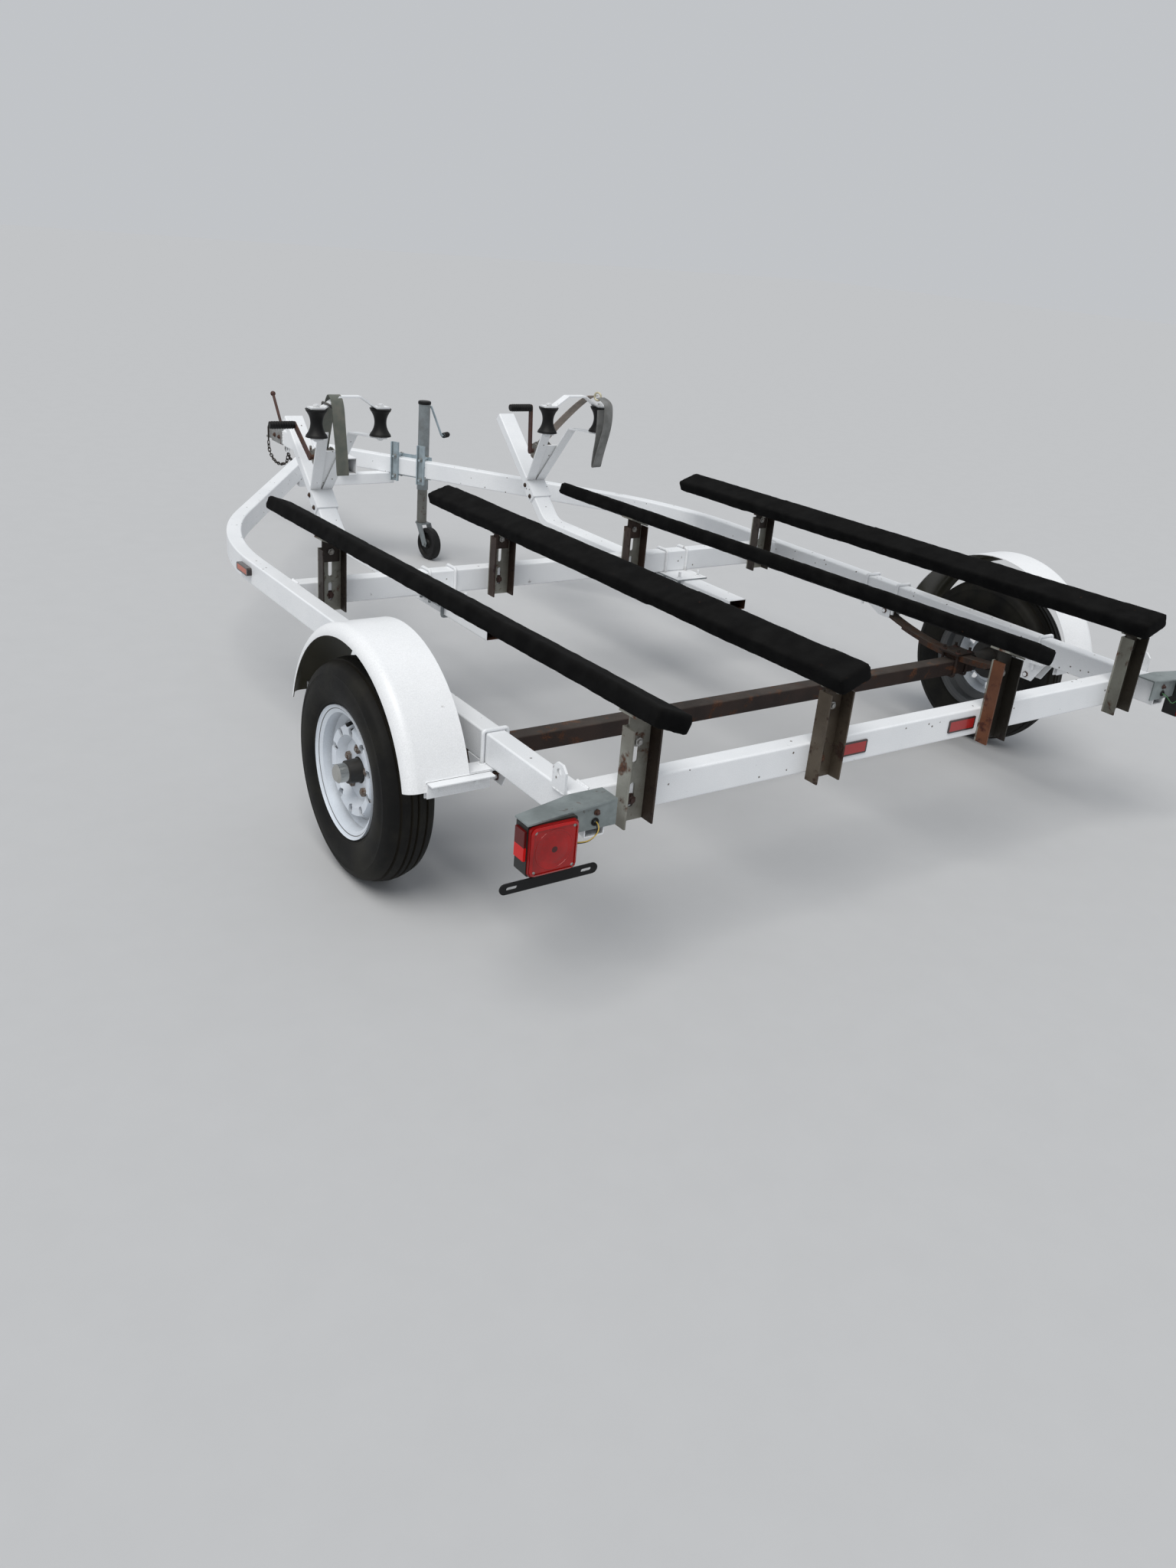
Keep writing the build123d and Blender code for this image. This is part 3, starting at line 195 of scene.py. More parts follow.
# %% Node tools
def new_group(name, inputs, outputs=(("Mask", "Float"),)):
    """An empty node group with named inputs, as (name, kind, value), and named outputs, as (name, kind)."""
    tree = bpy.data.node_groups.new(name, "ShaderNodeTree")
    for title, kind, value in inputs:
        made = tree.interface.new_socket(name=title, in_out="INPUT", socket_type="NodeSocket" + kind)
        if value is not None:
            made.default_value = value
    for title, kind in outputs:
        tree.interface.new_socket(name=title, in_out="OUTPUT", socket_type="NodeSocket" + kind)
    return tree, tree.nodes.new("NodeGroupInput").outputs, tree.nodes.new("NodeGroupOutput").inputs


def use(tree, group, values, out=0):
    """Adds a node group to a tree and returns one of its outputs, or all of them where out is None."""
    return socket(tree, "ShaderNodeGroup", {"node_tree": group}, values, out)


def vectors(tree, operation, first, second=None, out=0):
    """A Vector Math node."""
    values = {0: first} if second is None else {0: first, 1: second}
    return socket(tree, "ShaderNodeVectorMath", {"operation": operation}, values, out)


def split(tree, vector):
    """The X, Y and Z of a vector."""
    return socket(tree, "ShaderNodeSeparateXYZ", None, {0: vector}, None)


def blend_colors(tree, share, first, second, mode="MIX"):
    """Mixes two colours."""
    return socket(tree, "ShaderNodeMix", {"data_type": "RGBA", "blend_type": mode},
                  {0: share, 6: first, 7: second}, 2)


def steps(tree, value, low, high, to_low=0.0, to_high=1.0):
    """Spreads the part of a value between low and high over a new range, with soft ends."""
    return socket(tree, "ShaderNodeMapRange", {"interpolation_type": "SMOOTHSTEP"},
                  {"Value": value, "From Min": low, "From Max": high, "To Min": to_low, "To Max": to_high})


def noise(tree, vector, scale, detail=4.0, roughness=0.6, distortion=0.0):
    """A cloudy value that changes from place to place."""
    return socket(tree, "ShaderNodeTexNoise", None,
                  {"Vector": vector, "Scale": scale, "Detail": detail, "Roughness": roughness,
                   "Distortion": distortion})


print("node tools ready")

# %% [markdown]
# ## Masks for wear and dirt
# Weather works the same way on every part, so its masks are shared. One breaks a surface into patches, one
# scatters small chips, one finds what lies open to falling dust, one finds inner corners, and one measures
# how far a place lies from the axle's line and from the trailer's middle.

# %% Shared masks
patches, given, gives = new_group(
    "patches",
    [("Vector", "Vector", None), ("Scale", "Float", 8.0), ("Cover", "Float", 0.3), ("Edge", "Float", 0.05)])
patch_noise = noise(patches, given["Vector"], given["Scale"], 8.0, 0.62, 0.3)
threshold = sums(patches, "MULTIPLY_ADD", given["Cover"], -0.5, 0.75)
patch_low = sums(patches, "SUBTRACT", threshold, given["Edge"])
patch_high = sums(patches, "ADD", threshold, given["Edge"])
patches.links.new(steps(patches, patch_noise, patch_low, patch_high), gives["Mask"])

chips, given, gives = new_group(
    "chips",
    [("Vector", "Vector", None), ("Scale", "Float", 60.0), ("Share", "Float", 0.1), ("Size", "Float", 0.2)])
chip_cells = socket(chips, "ShaderNodeTexVoronoi", None,
                    {"Vector": given["Vector"], "Scale": given["Scale"]}, None)
chip_pick = socket(chips, "ShaderNodeSeparateColor", None, {"Color": chip_cells["Color"]})
chip_edge = sums(chips, "MULTIPLY", noise(chips, given["Vector"], 900.0, 2.0), given["Size"])
chip_near = sums(chips, "LESS_THAN", chip_cells["Distance"], chip_edge)
chip_kept = sums(chips, "LESS_THAN", chip_pick, given["Share"])
chips.links.new(sums(chips, "MULTIPLY", chip_near, chip_kept), gives["Mask"])

upward, given, gives = new_group("upward", [("Vector", "Vector", None)])
facing_up = split(upward, socket(upward, "ShaderNodeNewGeometry", out="Normal"))["Z"]
upward_share = steps(upward, facing_up, 0.1, 0.95)
dust_cloud = noise(upward, given["Vector"], 14.0, 5.0)
upward.links.new(sums(upward, "MULTIPLY", upward_share, dust_cloud), gives["Mask"])

# This mask finds inner corners and the insides of tubes by occlusion. The dark tone laid there is partly dirt
# and partly painted shade.
corners, given, gives = new_group("corners", [("Reach", "Float", 0.03)])
open_share = socket(corners, "ShaderNodeAmbientOcclusion", {"samples": 3, "only_local": True},
                    {"Distance": given["Reach"]}, "AO")
corners.links.new(steps(corners, open_share, 0.15, 0.85, 1.0, 0.0), gives["Mask"])

round_axle, given, gives = new_group(
    "round_axle", [("Vector", "Vector", None)], [("Radius", "Float"), ("Out", "Float")])
hub_place = tuple(at(0, axle_y, axle_z))
from_axle = split(round_axle, vectors(round_axle, "SUBTRACT", given["Vector"], hub_place))
flat_place = socket(round_axle, "ShaderNodeCombineXYZ", None, {"Y": from_axle["Y"], "Z": from_axle["Z"]})
round_axle.links.new(vectors(round_axle, "LENGTH", flat_place, out="Value"), gives["Radius"])
round_axle.links.new(sums(round_axle, "ABSOLUTE", from_axle["X"]), gives["Out"])
print("masks", [tree.name for tree in bpy.data.node_groups])

# %% [markdown]
# ## Weather
# One group lays the masks over each other in the order in which a real surface ages: two tones of its own, a
# fine grain, rust in patches, a dark tone in the corners and inside tubes that is partly dirt and partly
# painted shade, and dust on top. It gives a colour, a roughness, a metal value and a relief, and each finish
# only says how much of each it has.

# %% Weather
rust_dark = (0.030, 0.016, 0.011, 1)
rust_bright = (0.125, 0.050, 0.024, 1)
dust_tone = (0.36, 0.33, 0.28, 1)
corner_reach = 0.035
relief_depth = 0.001
weather, given, gives = new_group(
    "weather",
    [("Vector", "Vector", None), ("Base", "Color", (0.8, 0.8, 0.8, 1)), ("Worn", "Color", (0.6, 0.6, 0.6, 1)),
     ("Grime", "Color", (0.10, 0.085, 0.06, 1)), ("Scale", "Float", 8.0), ("Rust cover", "Float", 0.0),
     ("Dust cover", "Float", 0.1), ("Grime cover", "Float", 0.4), ("Metal", "Float", 0.0),
     ("Rough", "Float", 0.5), ("Grain", "Float", 400.0), ("Relief", "Float", 0.1)],
    [("Color", "Color"), ("Roughness", "Float"), ("Metallic", "Float"), ("Normal", "Vector")])
broad = noise(weather, given["Vector"], given["Scale"], 5.0)
fine = noise(weather, given["Vector"], given["Grain"], 6.0, 0.7)
worn_share = steps(weather, broad, 0.35, 0.68, 0.0, 0.85)
mottled = blend_colors(weather, worn_share, given["Base"], given["Worn"])
grain_tone = steps(weather, fine, 0.2, 0.8, 0.88, 1.08)
grain_color = socket(weather, "ShaderNodeCombineColor", None, {0: grain_tone, 1: grain_tone, 2: grain_tone})
grained = blend_colors(weather, 1.0, mottled, grain_color, "MULTIPLY")
rust_scale = sums(weather, "MULTIPLY", given["Scale"], 3.0)
rust_mask = use(weather, patches, {"Vector": given["Vector"], "Scale": rust_scale,
                                   "Cover": given["Rust cover"], "Edge": 0.06})
rust_tone = blend_colors(weather, steps(weather, fine, 0.3, 0.7), rust_dark, rust_bright)
rusted = blend_colors(weather, rust_mask, grained, rust_tone)
# Corners and tube insides take a dark tone here: partly dirt, partly painted shade.
shade_and_dirt_mask = sums(weather, "MULTIPLY", use(weather, corners, {"Reach": corner_reach}), given["Grime cover"])
shade_and_dirt_laid = blend_colors(weather, shade_and_dirt_mask, rusted, given["Grime"])
dust_mask = sums(weather, "MULTIPLY", use(weather, upward, {"Vector": given["Vector"]}), given["Dust cover"])
dusted = blend_colors(weather, dust_mask, shade_and_dirt_laid, dust_tone)
weather.links.new(dusted, gives["Color"])
rough_grain = steps(weather, fine, 0.2, 0.8, -0.08, 0.10)
rough_rust = sums(weather, "MULTIPLY_ADD", rust_mask, 0.35, rough_grain)
rough_dust = sums(weather, "MULTIPLY_ADD", dust_mask, 0.3, rough_rust)
weather.links.new(sums(weather, "ADD", rough_dust, given["Rough"], clamp=True), gives["Roughness"])
bare = sums(weather, "SUBTRACT", 1.0, sums(weather, "ADD", rust_mask, shade_and_dirt_mask), clamp=True)
weather.links.new(sums(weather, "MULTIPLY", bare, given["Metal"]), gives["Metallic"])
height = sums(weather, "MULTIPLY_ADD", rust_mask, 0.6, fine)
relief_way = socket(weather, "ShaderNodeBump", None,
                    {"Height": height, "Strength": given["Relief"], "Distance": relief_depth})
weather.links.new(relief_way, gives["Normal"])
print("groups", len(bpy.data.node_groups))

# %% [markdown]
# ## Finishes
# Most finishes are one row of a table: paint, zinc, rust, rubber or plastic, each with its own two tones, its
# rust, its dust, and how rough its skin is. A row is quicker to compare with the real surface than a page of
# nodes. The few surfaces that change from place to place, such as the inside of a fender, get their own extra
# step after it.


# %% Materials from a table
def start_material(name):
    """A material with only its output and its shader, and the shader's object coordinates."""
    material = bpy.data.materials.new(name)
    material.use_nodes = True
    tree = material.node_tree
    tree.nodes.clear()
    shader = tree.nodes.new("ShaderNodeBsdfPrincipled")
    output = tree.nodes.new("ShaderNodeOutputMaterial")
    tree.links.new(shader.outputs[0], output.inputs["Surface"])
    return material, tree, shader, socket(tree, "ShaderNodeTexCoord", out="Object")


# Columns: name, base tone, worn tone, patch scale, rust, dust, corner dirt and painted shade, metal, roughness,
# grain, relief.
finish_table = [
    ("frame_paint", (0.90, 0.91, 0.92), (0.84, 0.855, 0.87), 5, 0.05, 0.06, 0.75, 0, 0.32, 500, 0.06),
    ("clamp_paint", (0.88, 0.89, 0.90), (0.80, 0.81, 0.82), 9, 0.12, 0.08, 0.75, 0, 0.36, 500, 0.1),
    ("fender_paint", (0.91, 0.915, 0.92), (0.86, 0.868, 0.872), 4, 0.03, 0.06, 0.2, 0, 0.34, 350, 0.08),
    ("wheel_paint", (0.74, 0.79, 0.85), (0.66, 0.70, 0.75), 9, 0.06, 0.1, 0.7, 0, 0.34, 420, 0.08),
    ("hub_black", (0.008, 0.008, 0.008), (0.020, 0.018, 0.016), 22, 0.1, 0.08, 0.3, 0, 0.5, 300, 0.2),
    ("coupler_zinc", (0.34, 0.35, 0.35), (0.26, 0.25, 0.23), 14, 0.3, 0.3, 0.7, 0.55, 0.52, 260, 0.3),
    ("post_zinc", (0.31, 0.31, 0.27), (0.17, 0.16, 0.135), 8, 0.3, 0.06, 0.8, 0.3, 0.5, 260, 0.35),
    ("bracket_zinc", (0.30, 0.34, 0.34), (0.20, 0.23, 0.23), 12, 0.12, 0.08, 0.6, 0.45, 0.46, 60, 0.15),
    ("winch_zinc", (0.34, 0.34, 0.32), (0.22, 0.19, 0.15), 16, 0.3, 0.3, 0.7, 0.55, 0.5, 300, 0.3),
    ("jack_zinc", (0.27, 0.30, 0.31), (0.19, 0.20, 0.20), 18, 0.12, 0.1, 0.6, 0.5, 0.45, 300, 0.2),
    ("mount_zinc", (0.42, 0.50, 0.54), (0.30, 0.36, 0.39), 18, 0.08, 0.1, 0.6, 0.4, 0.4, 300, 0.2),
    ("jack_rod", (0.19, 0.19, 0.175), (0.12, 0.11, 0.09), 20, 0.25, 0.1, 0.6, 0.5, 0.48, 300, 0.25),
    ("rusty_steel", (0.070, 0.026, 0.020), (0.035, 0.017, 0.014), 14, 0.4, 0.08, 0.4, 0.1, 0.62, 320, 0.6),
    ("axle_rust", (0.034, 0.021, 0.017), (0.016, 0.012, 0.011), 6, 0.3, 0.18, 0.5, 0.1, 0.7, 240, 0.6),
    ("chain_steel", (0.020, 0.019, 0.018), (0.035, 0.024, 0.018), 40, 0.25, 0.08, 0.4, 0.4, 0.5, 500, 0.4),
    ("hook_steel", (0.070, 0.072, 0.075), (0.12, 0.11, 0.10), 40, 0.1, 0.3, 0.3, 0.5, 0.5, 500, 0.3),
    ("roller_rubber", (0.0035, 0.0035, 0.004), (0.009, 0.009, 0.009), 20, 0, 0.03, 0.2, 0, 0.5, 600, 0.25),
    ("black_plastic", (0.0035, 0.0035, 0.004), (0.009, 0.009, 0.009), 18, 0, 0.03, 0.2, 0, 0.48, 700, 0.15),
    ("dark_bolt", (0.030, 0.028, 0.027), (0.075, 0.045, 0.03), 50, 0.4, 0.2, 0.5, 0.5, 0.55, 700, 0.4),
    ("bright_zinc", (0.42, 0.42, 0.41), (0.24, 0.22, 0.19), 45, 0.2, 0.2, 0.6, 0.75, 0.38, 700, 0.25),
    ("tyre_rubber", (0.0045, 0.0045, 0.0045), (0.017, 0.016, 0.012), 9, 0, 0.035, 0.3, 0, 0.62, 500, 0.25),
    ("bunk_carpet", (0.002, 0.002, 0.0022), (0.006, 0.006, 0.006), 16, 0, 0.015, 0.2, 0, 0.94, 900, 1.0),
    ("spring_brown", (0.060, 0.036, 0.026), (0.035, 0.025, 0.021), 14, 0.4, 0.25, 0.4, 0.1, 0.7, 300, 0.6),
    ("webbing_roll", (0.16, 0.16, 0.14), (0.24, 0.22, 0.19), 30, 0, 0.3, 0.5, 0, 0.85, 700, 0.5),
    ("wheel_nut", (0.30, 0.28, 0.26), (0.16, 0.12, 0.09), 60, 0.45, 0.2, 0.7, 0.6, 0.45, 700, 0.35),
    ("lens_red", (0.40, 0.001, 0.001), (0.22, 0.001, 0.001), 14, 0, 0, 0.25, 0, 0.2, 420, 0.2),
    ("lamp_body", (0.009, 0.009, 0.009), (0.016, 0.016, 0.015), 18, 0, 0.2, 0.3, 0, 0.32, 500, 0.1),
    ("reflector", (0.030, 0.010, 0.010), (0.040, 0.014, 0.012), 30, 0, 0.12, 0.3, 0, 0.2, 700, 0.2),
    ("wire_yellow", (0.55, 0.38, 0.06), (0.40, 0.27, 0.05), 60, 0, 0.1, 0.3, 0, 0.4, 700, 0.05),
    ("wire_green", (0.05, 0.20, 0.07), (0.04, 0.13, 0.05), 60, 0, 0.1, 0.3, 0, 0.4, 700, 0.05),
    ("marker", (0.020, 0.012, 0.012), (0.030, 0.016, 0.014), 30, 0, 0.15, 0.3, 0, 0.25, 700, 0.15),
]
materials = {}
weathered = {}
for name, base, worn, scale, rust, dust, shade_and_dirt, metal, rough, grain, relief in finish_table:
    material, tree, shader, place = start_material(name)
    coat = use(tree, weather, {
        "Vector": place, "Base": (*base, 1), "Worn": (*worn, 1), "Scale": scale, "Rust cover": rust,
        "Dust cover": dust, "Grime cover": shade_and_dirt, "Metal": metal, "Rough": rough, "Grain": grain,
        "Relief": relief}, None)
    tree.links.new(coat["Color"], shader.inputs["Base Color"])
    for channel in ("Roughness", "Metallic", "Normal"):
        tree.links.new(coat[channel], shader.inputs[channel])
    materials[name] = material
    weathered[name] = (tree, shader, place)
print("finishes", len(materials))

# %% [markdown]
# ## Finishes that change from place to place
# Some parts carry two finishes at once: a lamp has its lens and its housing in one moulding, and a post is
# rusty on one face. The posts are also darkened face by face: partly dark zinc and rust, partly painted shade
# inside their channels and under the bunks. A box is the simplest mask for that. It keeps such a change sharp
# at any size, with no extra parts, and it can work on one side of the trailer or on both.

# %% Box masks
inside_box, given, gives = new_group(
    "inside_box", [("Vector", "Vector", None), ("Middle", "Vector", None), ("Half", "Vector", None)])
box_place = split(inside_box, given["Vector"])
folded_place = socket(inside_box, "ShaderNodeCombineXYZ", None, {
    "X": sums(inside_box, "ABSOLUTE", box_place["X"]), "Y": box_place["Y"], "Z": box_place["Z"]})
away = vectors(inside_box, "ABSOLUTE", vectors(inside_box, "SUBTRACT", folded_place, given["Middle"]))
spare = split(inside_box, vectors(inside_box, "SUBTRACT", given["Half"], away))
least = sums(inside_box, "MINIMUM", spare["X"], sums(inside_box, "MINIMUM", spare["Y"], spare["Z"]))
inside_box.links.new(sums(inside_box, "GREATER_THAN", least, 0.0), gives["Mask"])


def in_box(tree, place, middle, half, side):
    """The mask of a box in millimetres, on the left (-1), on the right (1) or on both sides (0)."""
    mask = use(tree, inside_box, {"Vector": place, "Middle": tuple(at(*middle)),
                                  "Half": tuple(v / 1000 for v in half)})
    if side == 0:
        return mask
    across = sums(tree, "MULTIPLY", split(tree, place)["X"], side)
    return sums(tree, "MULTIPLY", mask, sums(tree, "GREATER_THAN", across, 0.0))


def tint(name, mask, tone, mode="MIX"):
    """Lays another tone over a finish where the mask is white, or darkens it by that tone with MULTIPLY."""
    tree, shader = weathered[name][:2]
    under = shader.inputs["Base Color"].links[0].from_socket
    tree.links.new(blend_colors(tree, mask, under, (*tone, 1), mode), shader.inputs["Base Color"])


# Columns: finish, middle of the box, half its size, side of the trailer, how the tone is laid, tone.
box_table = [
    # Near-black inside the tongue's open rear end: painted shade.
    ("frame_paint", (0, 3500, 446), (33.3, 60, 33.3), 0, "MIX", (0.010, 0.009, 0.008)),
    ("frame_paint", (488, 1240, 382.7), (35.6, 120, 16.6), 0, "MIX", (0.045, 0.022, 0.014)),
    ("clamp_paint", (488, 1600, 370), (120, 200, 37), 0, "MIX", (0.23, 0.25, 0.26)),
    ("lamp_body", (1133, -99, 425), (58, 6, 60), 0, "MIX", (0.22, 0.003, 0.003)),
    ("lamp_body", (1194.5, -71, 452), (3.2, 19, 18), 0, "MIX", (0.10, 0.004, 0.004)),
    ("lamp_body", (1194.5, -71, 418), (3.2, 19, 15), 0, "MIX", (0.62, 0.008, 0.008)),
    ("reflector", (203, 0, 446), (46.5, 40, 13.5), 0, "MIX", (0.36, 0.010, 0.010)),
    ("marker", (1050, 1928, 451), (17, 42, 8.5), 0, "MIX", (0.50, 0.085, 0.025)),
    # The posts' tones are laid face by face: partly dark zinc and rust, partly painted shade inside the
    # channels and under the bunks.
    ("post_zinc", (838, -20, 560), (3.5, 21, 200), -1, "MULTIPLY", (0.15, 0.10, 0.08)),
    ("post_zinc", (309.6, -20, 560), (41, 21, 200), -1, "MULTIPLY", (0.34, 0.27, 0.22)),
    ("post_zinc", (273, -23, 560), (4.5, 18, 200), 1, "MULTIPLY", (0.55, 0.20, 0.10)),
    ("post_zinc", (315, -20, 560), (36, 21, 200), 1, "MULTIPLY", (0.10, 0.09, 0.08)),
    ("post_zinc", (838, -23, 560), (4.5, 18, 200), 1, "MULTIPLY", (0.50, 0.50, 0.48)),
    ("post_zinc", (880, -20, 560), (36, 21, 200), 1, "MULTIPLY", (0.14, 0.12, 0.10)),
    ("post_zinc", (882, 1587, 560), (41, 18, 200), 0, "MULTIPLY", (0.11, 0.08, 0.07)),
    ("post_zinc", (274, 1587, 560), (41, 18, 200), 0, "MULTIPLY", (0.16, 0.09, 0.07)),
    ("hook_steel", (560, 2310, 925), (70, 90, 70), 1, "MIX", (0.60, 0.55, 0.40)),
]
for name, middle, half, side, mode, tone in box_table:
    tree, place = weathered[name][::2]
    tint(name, in_box(tree, place, middle, half, side), tone, mode)
print("boxes", len(box_table))

# %% [markdown]
# ## Fenders, rims and paint chips
# The inside of a fender is the face that looks towards the fender's middle, so its mask compares the way a
# face looks with the way it lies from there, and that face is painted dark olive as painted shade under the
# arch. A rim is painted dark behind its disc as painted shade seen through its holes, and its step gets a thin
# dark line of painted shade. The frame's paint has small chips.

# %% Fenders, rims and chips
fender_inside_shade = (0.070, 0.064, 0.042)
inward_limit = -0.02
behind_disc = 1.187
behind_disc_shade = (0.075, 0.078, 0.080)
rim_step = 0.1605
line_width = 0.0011
step_shade_tone = (0.10, 0.10, 0.10)
chip_tone = (0.10, 0.075, 0.055)

tree, place = weathered["fender_paint"][::2]
from_middle = vectors(tree, "SUBTRACT", place, tuple(at(0, fender_y, 300)))
from_middle = vectors(tree, "MULTIPLY", from_middle, (0, 1, 1))
face_way = socket(tree, "ShaderNodeNewGeometry", out="True Normal")
outward = vectors(tree, "DOT_PRODUCT", from_middle, face_way, "Value")
# The fender's inside gets a dark olive: painted shade under the arch.
tint("fender_paint", sums(tree, "LESS_THAN", outward, inward_limit), fender_inside_shade)

tree, place = weathered["wheel_paint"][::2]
rim_spot = use(tree, round_axle, {"Vector": place}, None)
# Behind the disc the rim is painted dark: painted shade seen through its holes.
tint("wheel_paint", sums(tree, "LESS_THAN", rim_spot["Out"], behind_disc), behind_disc_shade)
# A thin dark line along the rim's step: painted shade in the crease.
off_line = sums(tree, "ABSOLUTE", sums(tree, "SUBTRACT", rim_spot["Radius"], rim_step))
tint("wheel_paint", sums(tree, "LESS_THAN", off_line, line_width), step_shade_tone)

tree, place = weathered["frame_paint"][::2]
chip_mask = use(tree, chips, {"Vector": place, "Scale": 70.0, "Share": 0.05, "Size": 0.42})
tint("frame_paint", chip_mask, chip_tone)
print("rim step", rim_step, "m")

# %% [markdown]
# ## Hub caps and bulbs
# A hub is black with a bright pressed cap, which begins a fixed way out from the trailer's middle. The bulb
# shows through each lens as a small dark spot.

# %% Hub caps and bulbs
cap_start = 1.2372
cap_tone = (0.50, 0.50, 0.47)
bulb_radius = 0.007
bulb_tone = (0.05, 0.001, 0.001)

tree, shader, place = weathered["hub_black"]
cap_mask = sums(tree, "GREATER_THAN", use(tree, round_axle, {"Vector": place}, "Out"), cap_start)
tint("hub_black", cap_mask, cap_tone)
tree.links.new(cap_mask, shader.inputs["Metallic"])
tree.links.new(sums(tree, "MULTIPLY_ADD", cap_mask, -0.25, 0.5), shader.inputs["Roughness"])

tree, place = weathered["lens_red"][::2]
for side in sides:
    bulb_place = tuple(at(side * lamp_x, -107, lamp_z))
    off_bulb = vectors(tree, "DISTANCE", place, bulb_place, "Value")
    tint("lens_red", sums(tree, "LESS_THAN", off_bulb, bulb_radius), bulb_tone)
print("bulb spot", 2 * bulb_radius, "m across")

# %% [markdown]
# ## Webbing, carpet and floor
# Webbing shows ribs across it and two selvages, so its finish follows the strap's own length and width, which
# its mesh carries as a UV map. Carpet is nearly black with short rough fibres, so it gets a strong relief, a
# trace of sheen and almost no mirror. The floor is one plain pale tone with a trace of grain.

# %% Webbing, carpet and floor finishes
rib_length = 0.0022
yarn_width = 0.0028
weave_depth = 0.0006
groove_shade_tone = (0.03, 0.03, 0.027, 1)
# Columns: name, tone, tone where it is worn.
for name, tone, worn in (("webbing", (0.13, 0.145, 0.12), (0.21, 0.205, 0.17)),
                         ("webbing_pale", (0.46, 0.37, 0.31), (0.34, 0.29, 0.25)),
                         ("webbing_grey", (0.27, 0.27, 0.26), (0.18, 0.18, 0.17))):
    material, tree, shader, place = start_material(name)
    strap_place = split(tree, socket(tree, "ShaderNodeUVMap", {"uv_map": "UVMap"}))
    rib_wave = sums(tree, "SINE", sums(tree, "MULTIPLY", strap_place["Y"], 2 * pi / rib_length))
    yarn_wave = sums(tree, "SINE", sums(tree, "MULTIPLY", strap_place["X"], 2 * pi / yarn_width))
    weave = sums(tree, "MULTIPLY", rib_wave, yarn_wave)
    stain = steps(tree, noise(tree, place, 26.0, 6.0), 0.35, 0.7)
    soiled = blend_colors(tree, stain, (*tone, 1), (*worn, 1))
    # The weave's grooves are darkened with painted shade.
    shaded = blend_colors(tree, steps(tree, weave, -1.0, 1.0, 0.0, 0.35), soiled, groove_shade_tone)
    tree.links.new(shaded, shader.inputs["Base Color"])
    tree.links.new(steps(tree, stain, 0.0, 1.0, 0.72, 0.9), shader.inputs["Roughness"])
    woven = socket(tree, "ShaderNodeBump", None, {"Height": weave, "Strength": 0.6, "Distance": weave_depth})
    tree.links.new(woven, shader.inputs["Normal"])
    shader.inputs["Sheen Weight"].default_value = 0.15
    materials[name] = material

# Columns: finish, input of its shader, value.
for name, title, value in (
        ("bunk_carpet", "Sheen Weight", 0.015), ("bunk_carpet", "Sheen Roughness", 0.6),
        ("lens_red", "Coat Weight", 0.4), ("reflector", "Coat Weight", 0.4), ("marker", "Coat Weight", 0.4),
        ("bunk_carpet", "Specular IOR Level", 0.04), ("tyre_rubber", "Specular IOR Level", 0.18),
        ("roller_rubber", "Specular IOR Level", 0.25), ("black_plastic", "Specular IOR Level", 0.25),
        ("lens_red", "Specular IOR Level", 0.3), ("lamp_body", "Specular IOR Level", 0.3),
        ("axle_rust", "Specular IOR Level", 0.3), ("spring_brown", "Specular IOR Level", 0.3)):
    weathered[name][1].inputs[title].default_value = value

material, tree, shader, place = start_material("plain_floor")
floor_grain = steps(tree, noise(tree, place, 9.0, 6.0), 0.2, 0.8)
dim_floor = [0.975 * v for v in floor_tone]
grainy = blend_colors(tree, floor_grain, (*dim_floor, 1), (*floor_tone, 1))
tree.links.new(grainy, shader.inputs["Base Color"])
shader.inputs["Roughness"].default_value = 0.85
floor.data.materials.append(material)
print("materials", len(bpy.data.materials))

# %% [markdown]
# ## Painting the solid parts
# Each solid part names the finish it takes in the record. A short list gives the few that want another look
# than the rest of their kind, such as the lamps, whose housing is black around the red lens.

# %% Paint the nodes
own_finish = {
    "lamp_brackets": "bracket_zinc", "jack_leg": "jack_rod", "jack_mount": "mount_zinc",
    "jack_crank": "mount_zinc", "tail_lamps": "lamp_body", "reflectors": "reflector",
    "side_markers": "marker", "strap_rolls": "webbing_roll", "leaf_springs": "spring_brown",
    "mast_clamps": "clamp_paint"}
for row in frame["record"]["subparts"]:
    finish = own_finish.get(row["node"], row["material_slot"])
    for holder in nodes[row["node"]].material_slots:
        holder.material = materials[finish]

# %% [markdown]
# ## Making tools
# The small parts are modelled as by hand: a primitive at its size, a few edit steps, then a finish. These
# helpers hold the steps that every part shares. A turned part is drawn as half an outline, corner by corner,
# and spun about its axis. What repeats is modelled once, and each copy gets its own mesh before the copies
# become one piece.

# %% Making tools
# Corners that lie nearer together than this, in metres, are merged into one.
tiny = 0.00001


def activate(piece):
    """Makes a piece the only selected one."""
    deselect()
    piece.select_set(True)
    bpy.context.view_layer.objects.active = piece


def edit(piece, action="SELECT", kind="FACE"):
    """Goes into edit mode with all or nothing of a piece selected."""
    activate(piece)
    bpy.ops.object.mode_set(mode="EDIT")
    bpy.ops.mesh.select_mode(type=kind)
    bpy.ops.mesh.select_all(action=action)


def leave_edit():
    """Goes back to object mode, which writes the edits into the mesh."""
    bpy.ops.object.mode_set(mode="OBJECT")


def select_parts(piece, kind, wanted):
    """Selects the faces, edges or corners that pass the test, and goes into edit mode."""
    edit(piece, "DESELECT", kind)
    leave_edit()
    mesh = piece.data
    for part in {"FACE": mesh.polygons, "EDGE": mesh.edges, "VERT": mesh.vertices}[kind]:
        part.select = wanted(part)
    bpy.ops.object.mode_set(mode="EDIT")


